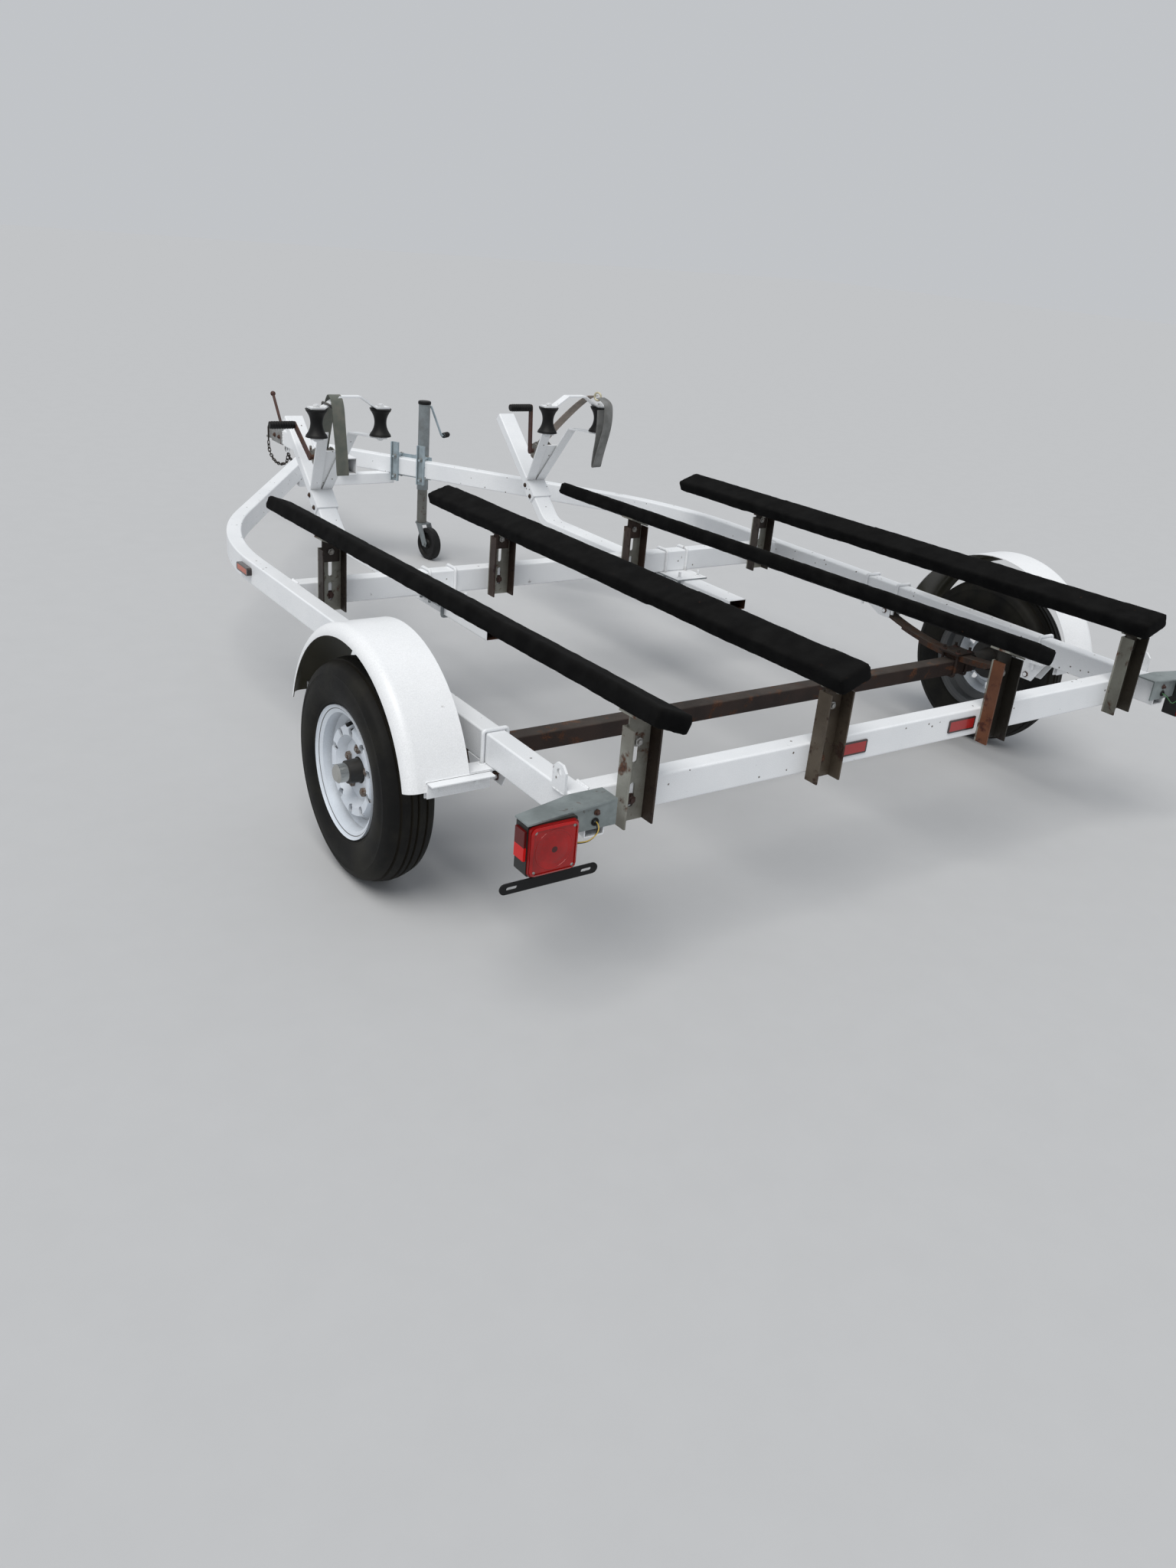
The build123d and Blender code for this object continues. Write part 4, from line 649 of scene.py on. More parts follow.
def bake_placing(piece):
    """Puts a piece's place, turn and size into its mesh, which leaves its origin at the frame's."""
    activate(piece)
    bpy.ops.object.transform_apply(location=True, rotation=True, scale=True)


def settle(piece, name, finish, slot=None, body="frame", smooth=35):
    """Bakes a finished piece's place, turns its faces outward, paints it and lets it ride."""
    slot = slot or finish
    piece.name = name
    piece.data.name = name
    bake_placing(piece)
    edit(piece)
    bpy.ops.mesh.normals_make_consistent(inside=False)
    leave_edit()
    bpy.ops.object.shade_smooth_by_angle(angle=radians(smooth))
    piece.data.materials.clear()
    piece.data.materials.append(materials[finish])
    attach(piece, body)
    return piece


def turned(points, turns=48, closed=False):
    """A piece turned about X. Its outline is (distance along X, radius) in millimetres, corner by corner."""
    deselect()
    bpy.ops.mesh.primitive_plane_add(size=0.002, location=(0, 0, 0))
    piece = bpy.context.active_object
    edit(piece)
    bpy.ops.mesh.merge(type="CENTER")
    outline = [Vector((x / 1000, 0, radius / 1000)) for x, radius in points]
    if closed:
        outline.append(outline[0])
    bpy.ops.mesh.select_mode(type="VERT")
    bpy.ops.mesh.select_all(action="SELECT")
    bpy.ops.transform.translate(value=outline[0])
    for before, after in zip(outline, outline[1:]):
        bpy.ops.mesh.extrude_region_move(TRANSFORM_OT_translate={"value": after - before})
    bpy.ops.mesh.select_all(action="SELECT")
    bpy.ops.mesh.remove_doubles(threshold=tiny)
    bpy.ops.mesh.spin(steps=turns, angle=2 * pi, center=(0, 0, 0), axis=(1, 0, 0))
    bpy.ops.mesh.select_all(action="SELECT")
    bpy.ops.mesh.remove_doubles(threshold=2 * tiny)
    leave_edit()
    return piece


def facing(place, direction, axis=(0, 0, 1), turn=0.0):
    """The placing that stands a piece's axis along a direction, turned about that axis."""
    lean = Vector(axis).rotation_difference(Vector(direction)).to_matrix().to_4x4()
    return Matrix.Translation(place) @ lean @ Matrix.Rotation(turn, 4, Vector(axis))


def joined(pieces):
    """Several pieces as one."""
    deselect()
    for piece in pieces:
        piece.select_set(True)
    bpy.context.view_layer.objects.active = pieces[0]
    bpy.ops.object.join()
    return pieces[0]


def copies(source, placings):
    """One piece made of copies of a source, each with its own mesh. The source is used up."""
    made = []
    for placing in placings:
        twin = source.copy()
        twin.data = source.data.copy()
        scene.collection.objects.link(twin)
        twin.matrix_world = placing
        made.append(twin)
    bpy.data.objects.remove(source)
    return joined(made)


def bevelled(piece, width, segments=2):
    """Breaks all the edges of a piece."""
    edit(piece)
    bpy.ops.mesh.bevel(offset=width / 1000, segments=segments)
    leave_edit()
    return piece


def block(low, high, edge=0.0):
    """A block between two corners in millimetres on the drawing, its edges broken."""
    a = at(*low)
    b = at(*high)
    deselect()
    bpy.ops.mesh.primitive_cube_add(size=1, location=(a + b) / 2)
    piece = bpy.context.active_object
    piece.scale = [abs(v) for v in b - a]
    bake_placing(piece)
    return bevelled(piece, edge) if edge else piece


def rod(corner_count, radius, height, foot, edge, segments=2):
    """An upright cylinder in millimetres, its foot at a height, its edges broken."""
    deselect()
    bpy.ops.mesh.primitive_cylinder_add(vertices=corner_count, radius=radius / 1000, depth=height / 1000,
                                        location=(0, 0, (foot + height / 2) / 1000))
    return bevelled(bpy.context.active_object, edge, segments)


print("tools ready")

# %% [markdown]
# ## Winch straps
# A strap is flat webbing with a real length, so it is drawn as a smooth line first, and the band is laid
# along that line with its width held in one direction. The left strap runs up over its bow arch, down behind
# it and back to its hook. The right one ends in a ring over the arch, and its slack hangs from it in a loop.


# %% Smooth lines and bands
def drawn_line(name, points):
    """A smooth curve through the air, with the given drawing points as its control points."""
    data = bpy.data.curves.new(name, "CURVE")
    data.dimensions = "3D"
    data.resolution_u = 16
    spline = data.splines.new("NURBS")
    spline.points.add(len(points) - 1)
    for held, point in zip(spline.points, points):
        held.co = (*at(*point), 1)
    spline.order_u = 3
    spline.use_endpoint_u = True
    line = bpy.data.objects.new(name, data)
    scene.collection.objects.link(line)
    return line


def smooth_line(points):
    """Places along a smooth curve."""
    line = drawn_line("line", points)
    mesh = bpy.data.meshes.new_from_object(line)
    places = [vertex.co.copy() for vertex in mesh.vertices]
    bpy.data.objects.remove(line)
    bpy.data.meshes.remove(mesh)
    return places


def line_length(places):
    """The length of a line through places, in metres."""
    return sum((b - a).length for a, b in zip(places, places[1:]))


strap_width = 0.046
strap_thickness = 0.003
# How far a corner of the section lies from the middle, and how thick the webbing is there, as shares.
section = [(-1.0, 0.45), (-0.96, 0.95), (-0.86, 1.0), (-0.6, 0.86), (-0.3, 0.84), (0.0, 0.82), (0.3, 0.84),
           (0.6, 0.86), (0.86, 1.0), (0.96, 0.95), (1.0, 0.45)]


def band(name, places, width_along):
    """A band of webbing along a line, its width held along one direction, with thicker woven edges."""
    mesh = bpy.data.meshes.new(name)
    build = bmesh.new()
    uv_layer = build.loops.layers.uv.new("UVMap")
    width_along = Vector(width_along).normalized()
    rings = []
    run = 0.0
    spots = {}
    for index, place in enumerate(places):
        before = places[max(index - 1, 0)]
        after = places[min(index + 1, len(places) - 1)]
        run += (place - before).length
        lift = (after - before).normalized().cross(width_along).normalized()
        ring = []
        for side in (1, -1):
            for across, thick in section[::side]:
                out = across * strap_width / 2
                rise = side * thick * strap_thickness / 2
                vertex = build.verts.new(place + width_along * out + lift * rise)
                spots[vertex] = (out, run)
                ring.append(vertex)
        rings.append(ring)
    for ring, following in zip(rings, rings[1:]):
        count = len(ring)
        for index in range(count):
            after = (index + 1) % count
            build.faces.new((ring[index], ring[after], following[after], following[index]))
    build.faces.new(rings[0][::-1])
    build.faces.new(rings[-1])
    for face in build.faces:
        for loop in face.loops:
            loop[uv_layer].uv = spots[loop.vert]
    build.to_mesh(mesh)
    build.free()
    piece = bpy.data.objects.new(name, mesh)
    scene.collection.objects.link(piece)
    return piece


print("section corners", 2 * len(section))

# %% [markdown]
# ## Routes of the straps
# Each route is a short list of drawing places. The slack loop is drawn flat, as distances and heights, and
# its plane is then turned about an upright line.

# %% Straps
strap_left_route = [
    (-488, 2605.2, 690.5), (-543, 2396, 934), (-546, 2326, 926), (-540, 2318, 800), (-526, 2322, 652),
    (-522, 2340, 650), (-528, 2336, 760), (-542, 2334, 866)]
strap_right_route = [(488, 2605.2, 690.5), (556, 2396, 928), (571, 2352, 927)]
loop_turn = radians(80)
loop_x = 579
loop_y = 2291
# Columns: distance along the loop's own plane, height.
loop_table = [(26, 918), (36, 868), (33, 812), (14, 745), (-3, 682), (-7, 652), (-19, 652), (-16, 700),
              (-6, 770), (-4, 830), (-8, 880)]
strap_loop_route = [(577, 2313, 925)]
for along, height in loop_table:
    strap_loop_route.append((loop_x + cos(loop_turn) * along, loop_y - sin(loop_turn) * along, height))
# Columns: name, route, direction of the width, finish, length in metres, what is on the far end.
strap_table = [
    ("strap_left", strap_left_route, (1, 0, 0), "webbing", 0.897, "object"),
    ("strap_right", strap_right_route, (1, 0, 0), "webbing_pale", 0.370, "object"),
    ("strap_loop", strap_loop_route, (sin(loop_turn), cos(loop_turn), 0), "webbing_grey", 0.532, "bare"),
]
for name, route, width_along, finish, length, far_end in strap_table:
    line = smooth_line(route)
    strap = settle(band(f"{name}_webbing", line, width_along), f"{name}_webbing", finish, "webbing")
    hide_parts(name)
    print(name, round(line_length(line), 3), "m")

# %% [markdown]
# ## Safety chains
# A chain is one link copied along a line, each turned a quarter round from the last. The link starts as a
# torus, and its two halves are pulled apart in edit mode, which gives it the straight sides of a real link.


# %% Chains
def chain_link(wire, inner_width, pitch):
    """One oval link lying along X, in millimetres."""
    deselect()
    bpy.ops.mesh.primitive_torus_add(major_radius=(inner_width + wire) / 2000, minor_radius=wire / 2000,
                                     major_segments=16, minor_segments=8, location=(0, 0, 0))
    link = bpy.context.active_object
    pull = (pitch - inner_width) / 2000
    for side in sides:
        select_parts(link, "VERT", lambda corner: corner.co.x * side > tiny)
        bpy.ops.transform.translate(value=(side * pull, 0, 0))
        leave_edit()
    return link


def place_on(line, run):
    """The place and the direction at a distance along a line."""
    for a, b in zip(line, line[1:]):
        piece_run = (b - a).length
        if run <= piece_run:
            return a + (b - a) * (run / piece_run), (b - a).normalized()
        run -= piece_run
    return line[-1], (line[-1] - line[-2]).normalized()


link_wire = 5.0
link_inner = 8.0
link_pitch = 18.0
first_turn = 0.3
chain_route = [(24, 4165, 379.6), (24, 4165, 350), (29, 4180, 325), (37, 4222, 309), (43, 4272, 308),
               (46, 4320, 322), (46.5, 4356, 346), (46, 4375, 372), (46, 4375, 399.8)]
for name, side in (("chain_left", -1), ("chain_right", 1)):
    line = smooth_line([(side * x, y, z) for x, y, z in chain_route])
    whole = line_length(line)
    count = round(whole / (link_pitch / 1000))
    placings = []
    for index in range(count):
        spot, along = place_on(line, whole * (index + 0.5) / count)
        placings.append(facing(spot, along, (1, 0, 0), index * pi / 2 + first_turn))
    chain = copies(chain_link(link_wire, link_inner, link_pitch), placings)
    settle(chain, f"{name}_links", "chain_steel")
    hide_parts(name)
    print(name, count, "links", round(whole, 3), "m")

# %% [markdown]
# ## Tyres
# A trailer tyre is a turned shape: a bead, a bulging sidewall with a few moulded rings, a shoulder, and ribs
# between grooves. The outline is drawn once for half the tyre, mirrored and spun, because such a worn trailer
# tyre has plain ribs and no blocks. The sidewall stays bare of lettering.

# %% Tyres
# Columns: distance from the tyre's middle, radius.
half_tyre = [
    (48.0, 155.0), (50.8, 171.5), (54.0, 173.0), (57.5, 177.5), (58.4, 182.0), (60.2, 184.0), (64.6, 198.0),
    (67.3, 212.0), (68.0, 223.0), (67.2, 235.0), (65.4, 245.5), (66.0, 247.5), (64.4, 252.5), (61.4, 259.5),
    (58.2, 265.5), (54.5, 269.0), (48.0, 272.8), (37.5, 276.6), (36.0, 270.8), (31.5, 271.4), (30.0, 279.0),
    (20.0, 281.6), (12.0, 283.0), (10.5, 276.2), (6.5, 276.4), (5.0, 283.8)]
tyre_outline = half_tyre + [(-x, radius) for x, radius in half_tyre[::-1]]
for name, side in (("left", -1), ("right", 1)):
    tyre = turned(tyre_outline, 120, closed=True)
    tyre.matrix_world = Matrix.Translation(at(side * wheel_x, axle_y, axle_z))
    settle(tyre, f"tyre_{name}_rubber", "tyre_rubber", body=f"wheel_{name}", smooth=28)
    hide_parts(f"tyre_{name}")
    print("tyre", name, "faces", len(tyre.data.polygons))

# %% [markdown]
# ## Nuts and bolts
# Nearly everything on a trailer is bolted, and its nuts are what the eye uses to judge its size. One hexagon
# nut with its washer and the bolt's end is modelled for each size, and lists give the places and the way each
# one points.

# %% Nuts and bolts
down = (0, 0, -1)
upright = (0, 0, 1)
backward = (0, -1, 0)
washer_top = 1.6
nut_turn = 0.7
nut_smooth = 30


def hex_nut(across, height, washer, bolt=0.0, bolt_out=0.0):
    """A hexagon nut standing on its washer, with the end of its bolt above it, in millimetres."""
    made = [rod(6, across / 2 / cos(radians(30)), height, washer_top, 0.9), rod(24, washer, 2, -0.1, 0.4, 1)]
    if bolt:
        made.append(rod(16, bolt, height + bolt_out, washer_top, 0.8))
    return joined(made)


def fasten(name, source, places, finish, slot=None, body="frame"):
    """Copies of a nut at places on the drawing, each with the way it points."""
    placings = []
    for index, (place, direction) in enumerate(places):
        placings.append(facing(at(*place), direction, turn=nut_turn * index))
    settle(copies(source, placings), name, finish, slot, body, nut_smooth)
    print(name, len(placings))


clamp_nuts = []
for side in sides:
    for x in (977.2, 1042.0):
        for y, z in ((961.56, 403.8), (352.44, 403.8), (1108.07, 402.8)):
            clamp_nuts.append(((side * x, y, z), down))
    for x in (440.9, 535.1):
        for y in (1605.0, 1665.8):
            clamp_nuts.append(((side * x, y, 401.8), down))
    for x in (444.9, 531.1):
        clamp_nuts.append(((side * x, 1524.0, 407.8), upright))
fasten("clamp_nuts", hex_nut(16, 8, 10.5), clamp_nuts, "frame_paint")

axle_nuts = [((side * x, y, 336.9), upright) for side in sides for x in (980.1, 1039.1)
             for y in (647.6, 708.4)]
spring_nuts = [((side * (rail_middle_x + out * 27), y, z), (side * out, 0, 0))
               for side in sides for out in sides for y, z in ((1003.07, 385.5), (374.93, 357.1))]
fasten("spring_nuts", hex_nut(17, 8, 11), axle_nuts + spring_nuts, "rusty_steel")

# Columns: x over the rear cross member, x over the middle one.
post_table = [(-875.0, -882.0), (-309.6, -274.4), (309.6, 274.4), (875.0, 882.0)]
low_bolts = []
high_bolts = []
for x_rear, x_front in post_table:
    for x, y in ((x_rear, -4.5), (x_front, 1605.5)):
        low_bolts.append(((x, y, 440.0), backward))
        high_bolts.append(((x, y - 5, 579.0), backward))
fasten("post_low_bolts", hex_nut(19, 9, 14, 6, 4), low_bolts, "rusty_steel")
fasten("post_high_bolts", hex_nut(19, 9, 14, 6, 4), high_bolts, "bright_zinc", "post_zinc")

channel_half = 44.1
slope = radians(41.4)
mast_end_y = 2903
mast_end_z = 757
bracket_y = 2608
bracket_bolts = []
for side in sides:
    for out in sides:
        for run in (-22, 22):
            z = mast_end_z - (mast_end_y - bracket_y - run) * tan(slope)
            bracket_bolts.append(((side * mast_x + out * channel_half, bracket_y + run, z), (out, 0, 0)))
fasten("bow_bracket_bolts", hex_nut(17, 8, 11.5, 5, 3), bracket_bolts, "dark_bolt", "rusty_steel")

coupler_bolts = [((side * 43.1, y, 446), (side, 0, 0)) for side in sides for y in (4230, 4290)]
fasten("coupler_bolts", hex_nut(19, 10, 14, 6, 5), coupler_bolts, "rusty_steel")

lamp_bolts = [((side * 1010, -68.2, 466), backward) for side in sides]
fasten("lamp_bolts", hex_nut(13, 6, 10, 4, 5), lamp_bolts, "rusty_steel")

fender_bolts = [((side * x, fender_y + end * 352.2, 387), (0, end, 0))
                for side in sides for end in sides for x in (1080, 1186)]
fasten("fender_bolts", hex_nut(13, 5.5, 9), fender_bolts, "frame_paint")

# %% [markdown]
# ## Beside the right leg
# The jack is bolted to the right front leg, which runs at a slant. Its places are measured from the leg: how
# far out from its middle line, how far along it from the jack, and how high.

# %% Jack mount nuts
leg_turn = radians(32.5)
leg_along = Vector((-sin(leg_turn), cos(leg_turn), 0))
leg_out = Vector((cos(leg_turn), sin(leg_turn), 0))
leg_bend_radius = 1224.6
bend_start_y = 1912
jack_y = 3404.0
leg_start_x = rail_middle_x - leg_bend_radius * (1 - cos(leg_turn))
leg_start = Vector((leg_start_x, bend_start_y + leg_bend_radius * sin(leg_turn), 0))
leg_run = (jack_y - leg_start.y) / cos(leg_turn)


def beside_leg(out, along, z):
    """A drawing place beside the leg at the jack: out from its middle line, along it, and its height."""
    place = leg_start + leg_along * (leg_run + along) + leg_out * out
    return (place.x, place.y, z)


mount_nuts = []
for along in (-70, 70):
    for z in (frame_bottom - 8, frame_top + 8):
        mount_nuts.append((beside_leg(33.4, along, z), leg_out))
        mount_nuts.append((beside_leg(-30.4, along, z), -leg_out))
fasten("jack_mount_nuts", hex_nut(17, 9, 11), mount_nuts, "bright_zinc", "jack_zinc")

# %% [markdown]
# ## Fender angles
# Each end of a fender is stiffened by a steel angle on its outside: one flange lies against the sheet and
# takes the bolts, and the other sticks out level above them. Two bevelled blocks make each angle.

# %% Fender angles
angle_thickness = 4
angle_foot = 368
angle_top = 408
angles = []
for side in sides:
    for end in sides:
        sheet_y = fender_y + end * 348
        lip_y = fender_y + end * 376
        low_x, high_x = sorted((side * 1045, side * 1206))
        for y0, y1, z0 in ((sheet_y, sheet_y + end * angle_thickness, angle_foot),
                           (sheet_y - end * 5, lip_y, angle_top - angle_thickness)):
            angles.append(block((low_x, min(y0, y1), z0), (high_x, max(y0, y1), angle_top), 1.0))
settle(joined(angles), "fender_angles", "frame_paint")
print("angles", 2 * len(sides))

# %% [markdown]
# ## Wheel nuts, valve stems
# Five nuts hold each wheel on a circle 114.3 mm across. They ride on the wheel, so they turn with it. The
# rubber valve stem stands in the slope of the rim.

# %% Wheel nuts and valves
lug_circle = 57.15
disc_x = 1201
stem_x = 1203
stem_rise = 136
stem_outline = [(0, 0), (0, 7.5), (4, 7), (8, 5), (22, 4.5), (23, 5), (33, 5), (34, 4), (34, 0)]
for name, side in (("left", -1), ("right", 1)):
    places = []
    for index in range(5):
        turn = radians(72 * index + 90)
        y = axle_y + lug_circle * cos(turn)
        places.append(((side * disc_x, y, axle_z + lug_circle * sin(turn)), (side, 0, 0)))
    nut = hex_nut(21, 17, 12.5, 6.5, 3)
    fasten(f"wheel_nuts_{name}", nut, places, "wheel_nut", "wheel_paint", f"wheel_{name}")
    stem = turned(stem_outline, 16)
    foot = at(side * stem_x, axle_y, axle_z + stem_rise)
    stem.matrix_world = facing(foot, (side * 0.94, 0, -0.34), (1, 0, 0))
    settle(stem, f"valve_{name}", "black_plastic", body=f"wheel_{name}")

# %% [markdown]
# ## Crank grips and the jack's cap
# A grip is a ribbed rubber sleeve over the end of a crank. The ribs are in its outline, so one spin makes
# them. The jack's tube is closed by a black cap with a rounded edge.

# %% Grips and cap
rib_count = 9
rib_rise = 1.6
drum_y = 2582.0
drum_z = 668.9
crank_length = 175
jack_offset = 110.4
crank_height = 576.0


def ribbed_grip(length, radius):
    """A sleeve along X with rounded ribs."""
    points = [(0, 0), (0, radius - 1.5), (2, radius)]
    rib = (length - 12) / rib_count
    for index in range(rib_count):
        start = 6 + (length - 12) * index / rib_count
        points += [(start, radius), (start + 0.2 * rib, radius + rib_rise),
                   (start + 0.6 * rib, radius + rib_rise), (start + 0.8 * rib, radius)]
    return turned(points + [(length - 2, radius), (length, radius - 2), (length, 0)], 28)


# Columns: name, side, angle of the crank's arm above the level.
for name, side, angle in (("left", -1, 33.0), ("right", 1, 86.0)):
    arm = radians(angle)
    tip = at(side * mast_x - 61, drum_y + crank_length * cos(arm), drum_z + crank_length * sin(arm))
    grip = ribbed_grip(101, 13.4)
    grip.matrix_world = facing(tip, (-1, 0, 0), (1, 0, 0))
    settle(grip, f"winch_grip_{name}", "black_plastic")
grip = ribbed_grip(49, 11.4)
grip.matrix_world = facing(at(*beside_leg(jack_offset + 91.5, -52, crank_height)), leg_out, (1, 0, 0))
settle(grip, "jack_grip", "black_plastic", body="jack_tube")
cap = turned([(-6, 0), (-6, 29.4), (-5, 30.4), (4, 30.4), (7, 29), (8.6, 26), (9, 0)], 40)
cap.matrix_world = facing(at(*beside_leg(jack_offset, 0, 729)), upright, (1, 0, 0))
settle(cap, "jack_cap", "black_plastic", body="jack_tube")
print("grips and cap made")

# %% [markdown]
# ## Winch gears
# A toothed wheel on each winch's crank side takes the pawl. It is a disc whose every other rim face is pulled
# out into a tooth. Two thin flanges keep the webbing on its drum.


# %% Winch gears
def gear(teeth, radius, tooth, thickness):
    """A toothed disc lying square to Z."""
    deselect()
    bpy.ops.mesh.primitive_cylinder_add(vertices=2 * teeth, radius=radius / 1000, depth=thickness / 1000,
                                        location=(0, 0, 0))
    disc = bpy.context.active_object
    select_parts(disc, "FACE", lambda face: abs(face.normal.z) < 0.5 and face.index % 2 == 0)
    bpy.ops.mesh.extrude_faces_move(TRANSFORM_OT_shrink_fatten={"value": tooth / 1000})
    leave_edit()
    return disc


gear_places = [facing(at(side * mast_x - 41, drum_y, drum_z), (-1, 0, 0)) for side in sides]
settle(copies(gear(20, 27, 4, 6), gear_places), "winch_gears", "winch_zinc")
flange = turned([(-1, 21), (-1, 37), (0, 37.8), (1, 37), (1, 21)], 40, closed=True)
flange_places = []
for side in sides:
    for out in sides:
        flange_places.append(Matrix.Translation(at(side * mast_x + out * 25.6, drum_y, drum_z)))
settle(copies(flange, flange_places), "drum_flanges", "winch_zinc")
pawls = [block((side * mast_x - 46, 2612, 672), (side * mast_x - 39, 2622, 706), 1.5) for side in sides]
settle(joined(pawls), "winch_pawls", "winch_zinc")
print("gears", len(gear_places), "flanges", len(flange_places))

# %% [markdown]
# ## Tail lamps
# Each lamp's lens is a shallow red block with rounded corners. Its front is inset and drawn in, which leaves
# a rim, and a large ring and a low dome, both turned, stand on it. Fine prisms inside a lens are only seen as
# a grain, so the finish makes them. Four screws hold each lens.

# %% Lamp lenses
ring_outline = [(0, 41), (1.6, 42), (2.0, 43.5), (1.6, 45), (0, 46)]
dome_outline = [(0, 38), (1.2, 32), (2.4, 16), (3.0, 0)]
lens_half_width = 55
lens_front = -102.7
corner_radius = 0.013
edge_radius = 0.0009
rim_width = 0.005
rim_depth = 0.0012


def looks_back(face):
    return face.normal.y < -0.9


def rounded_lens(x):
    """A lens in the middle of a lamp at x, in millimetres."""
    lens = block((x - lens_half_width, -104, 371.5), (x + lens_half_width, -100.5, 479))
    spots = lens.data.vertices

    def runs_through(edge):
        a, b = edge.vertices
        return abs(spots[a].co.y - spots[b].co.y) > 0.002

    select_parts(lens, "EDGE", runs_through)
    bpy.ops.mesh.bevel(offset=corner_radius, segments=6)
    leave_edit()
    select_parts(lens, "FACE", looks_back)
    bpy.ops.mesh.bevel(offset=edge_radius, segments=2)
    leave_edit()
    select_parts(lens, "FACE", looks_back)
    bpy.ops.mesh.inset(thickness=rim_width)
    bpy.ops.mesh.extrude_region_shrink_fatten(TRANSFORM_OT_shrink_fatten={"value": -rim_depth})
    leave_edit()
    return lens


lens_pieces = []
screw_places = []
for side in sides:
    x = side * lamp_x
    lens_pieces.append(rounded_lens(x))
    for outline, turns in ((ring_outline, 48), (dome_outline, 40)):
        relief = turned(outline, turns, closed=outline is ring_outline)
        relief.matrix_world = facing(at(x, lens_front, lamp_z), backward, (1, 0, 0))
        lens_pieces.append(relief)
    screw_places += [((x + dx, -102.9, lamp_z + dz), backward) for dx in (-46, 46) for dz in (-45, 45)]
settle(joined(lens_pieces), "lamp_lenses", "lens_red", "lamp_red")
screw = turned([(0, 4.2), (1.4, 3.8), (2.0, 2.4), (2.1, 0)], 14)
screw.matrix_world = facing(Vector((0, 0, 0)), upright, (1, 0, 0))
bake_placing(screw)
fasten("lens_screws", screw, screw_places, "bright_zinc", "post_zinc")

# %% [markdown]
# ## Lamp wires
# Two thin wires come out of a rubber grommet in each lamp bracket and run round into the side of the lamp.
# Each is a smooth curve with a round section, a few centimetres long, and sags a little on its way.

# %% Lamp wires
wire_radius = 1.3
grommet_radius = 0.0065
grommet_thickness = 0.0028
# Columns: name, side, how far the wire lies from its neighbour, finish.
wire_table = [("lamp_wire_1", -1, 0.0, "wire_yellow"), ("lamp_wire_2", -1, 4.0, "black_plastic"),
              ("lamp_wire_3", 1, 0.0, "wire_green"), ("lamp_wire_4", 1, 4.0, "black_plastic")]
for name, side, apart, finish in wire_table:
    one_side = [(1011 + apart, -71, 445), (1012 + apart, -84, 443), (1020 + apart, -92, 430 - apart),
                (1040, -92 + apart, 417 - apart), (1060, -88 + apart, 416 - apart),
                (1078, -86 + apart, 419 - apart)]
    route = [(side * x, y, z) for x, y, z in one_side]
    wire = drawn_line(name, route)
    wire.data.resolution_u = 8
    wire.data.bevel_depth = wire_radius / 1000
    wire.data.bevel_resolution = 3
    wire.data.use_fill_caps = True
    wire.data.materials.append(materials[finish])
    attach(wire, "frame")
    whole = line_length(smooth_line(route))
    print(name, round(whole, 3), "m")
grommets = []
for side in sides:
    deselect()
    bpy.ops.mesh.primitive_torus_add(major_radius=grommet_radius, minor_radius=grommet_thickness,
                                     major_segments=24, minor_segments=10)
    grommet = bpy.context.active_object
    grommet.matrix_world = facing(at(side * 1013, -69.4, 445), backward)
    grommets.append(grommet)
settle(joined(grommets), "grommets", "black_plastic")

# %% [markdown]
# ## Weld beads
# Where tubes meet, a welder leaves a row of overlapping ripples. One small bead is copied along each seam at
# the spacing of the ripples, a little irregular in size, so that no two seams look stamped.

# %% Weld beads
ripple_spacing = 3.6
ripple_radius = 0.0042
smallest_ripple = 0.85
ripple_spread = 0.25
ripple_rhythm = 2.3
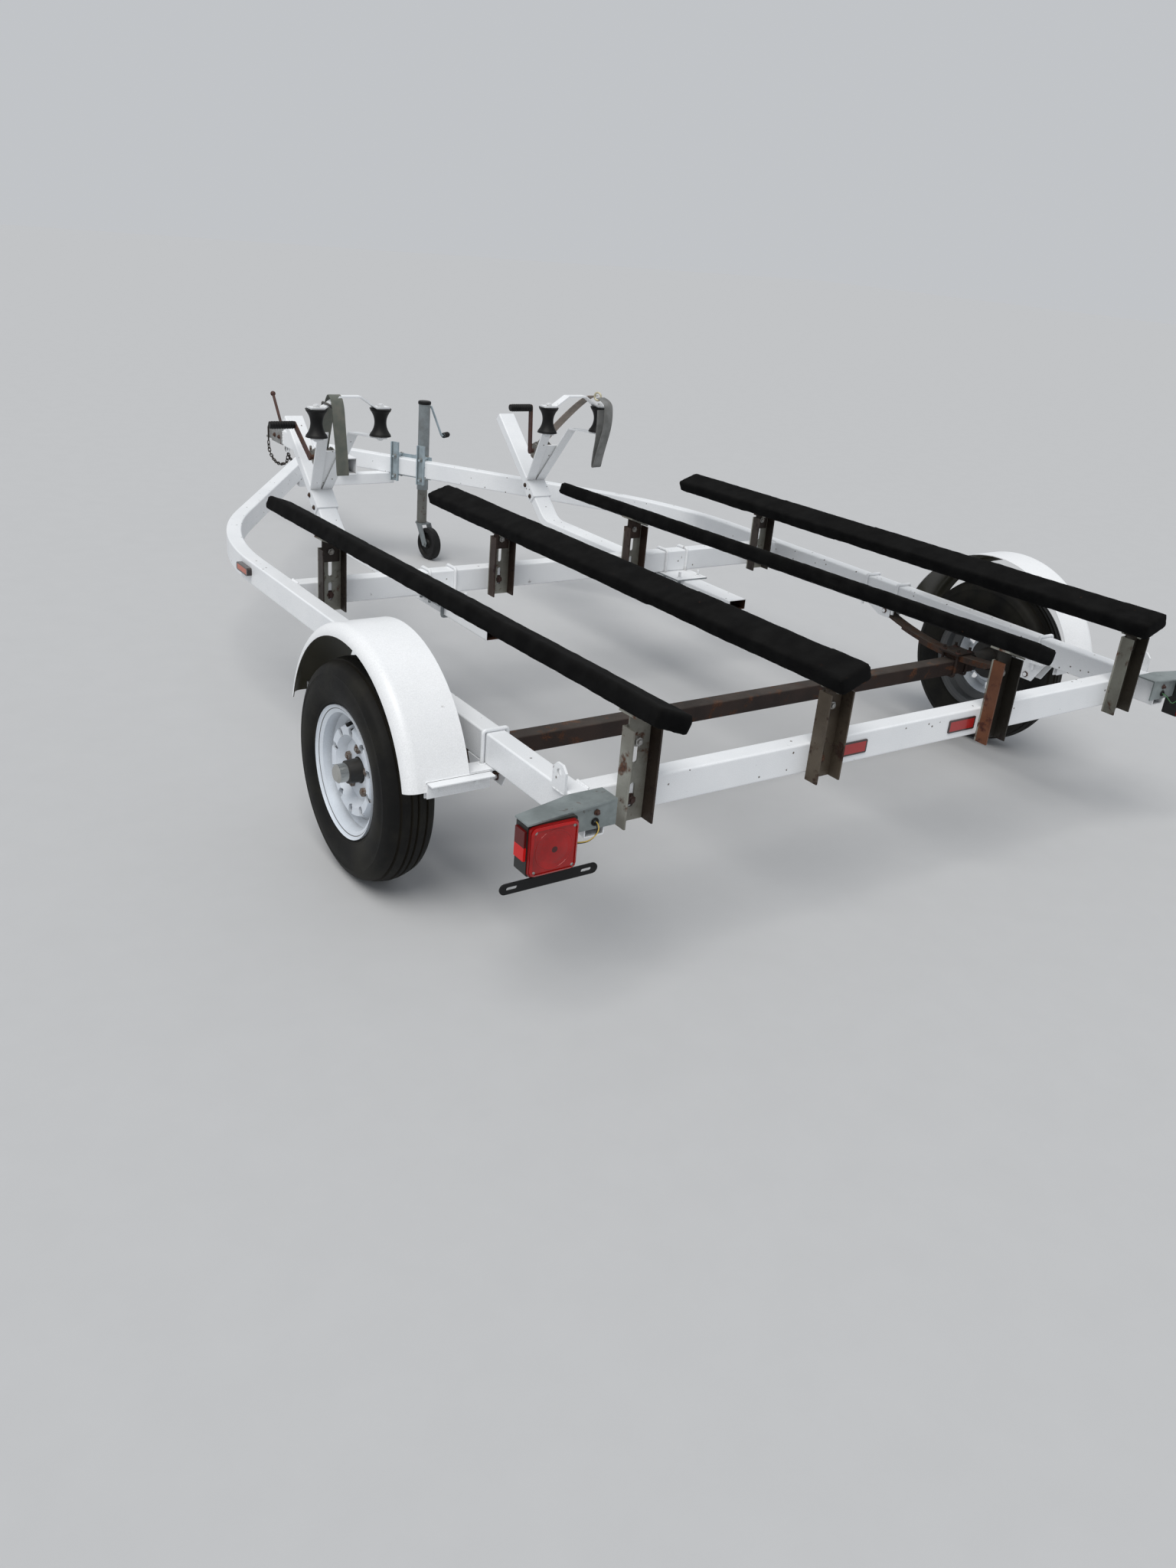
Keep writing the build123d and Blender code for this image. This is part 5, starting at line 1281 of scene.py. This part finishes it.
# Columns: where the seam starts and ends on the drawing's right side.
seam_table = [
    ((984.2, 4, 484), (984.2, 47, 484)), ((984.2, 0, 412), (984.2, 0, 480)),
    ((984.2, 50.8, 412), (984.2, 50.8, 480)), ((984.2, 1614, 484), (984.2, 1657, 484)),
    ((984.2, 1610, 412), (984.2, 1610, 480)), ((984.2, 1660.8, 412), (984.2, 1660.8, 480)),
    ((38.1, 3750, 484), (38.1, 3838, 484)), ((38.1, 3841, 412), (38.1, 3841, 480)),
    ((2, 4190, 484.6), (34, 4190, 484.6)), ((38.7, 4190, 416), (38.7, 4190, 480)),
    ((1038, 12, 475.6), (1038, 58, 475.6)), ((38.1, 3760, 407.8), (38.1, 3830, 407.8)),
]
deselect()
bpy.ops.mesh.primitive_uv_sphere_add(segments=8, ring_count=5, radius=ripple_radius, location=(0, 0, 0))
ripple = bpy.context.active_object
placings = []
for start, end in seam_table:
    seam = Vector(end) - Vector(start)
    count = int(seam.length / ripple_spacing)
    for index in range(count):
        spot = Vector(start) + seam * ((index + 0.5) / count)
        size = smallest_ripple + ripple_spread * sin(index * ripple_rhythm) ** 2
        for side in sides:
            placings.append(Matrix.Translation(at(side * spot.x, spot.y, spot.z)) @ Matrix.Scale(size, 4))
settle(copies(ripple, placings), "weld_beads", "frame_paint", smooth=60)
print("ripples", len(placings))

# %% [markdown]
# ## Carpet on the bunks
# The boards are wrapped in thick outdoor carpet, so their edges are soft and never quite straight. A copy of
# each board is merged, covered with an even net of faces and pushed in and out a little by a cloudy noise.

# %% Bunk carpet
net_size = 0.008
bump_size = 0.035
push_depth = 0.0028
push_middle = 0.62
bumps = bpy.data.textures.new("carpet_bumps", "CLOUDS")
bumps.noise_scale = bump_size
for index in range(1, 5):
    node = nodes[f"bunk_{index}"]
    cover = bpy.data.objects.new(f"bunk_{index}_carpet", node.data.copy())
    scene.collection.objects.link(cover)
    edit(cover)
    bpy.ops.mesh.remove_doubles(threshold=0.00005)
    leave_edit()
    net = cover.modifiers.new("net", "REMESH")
    net.mode = "VOXEL"
    net.voxel_size = net_size
    bpy.ops.object.modifier_apply(modifier="net")
    push = cover.modifiers.new("push", "DISPLACE")
    push.texture = bumps
    push.texture_coords = "LOCAL"
    push.strength = push_depth
    push.mid_level = push_middle
    bpy.ops.object.modifier_apply(modifier="push")
    settle(cover, f"bunk_{index}_carpet", "bunk_carpet", smooth=60)
    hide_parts(f"bunk_{index}")
    print(cover.name, len(cover.data.polygons), "faces")
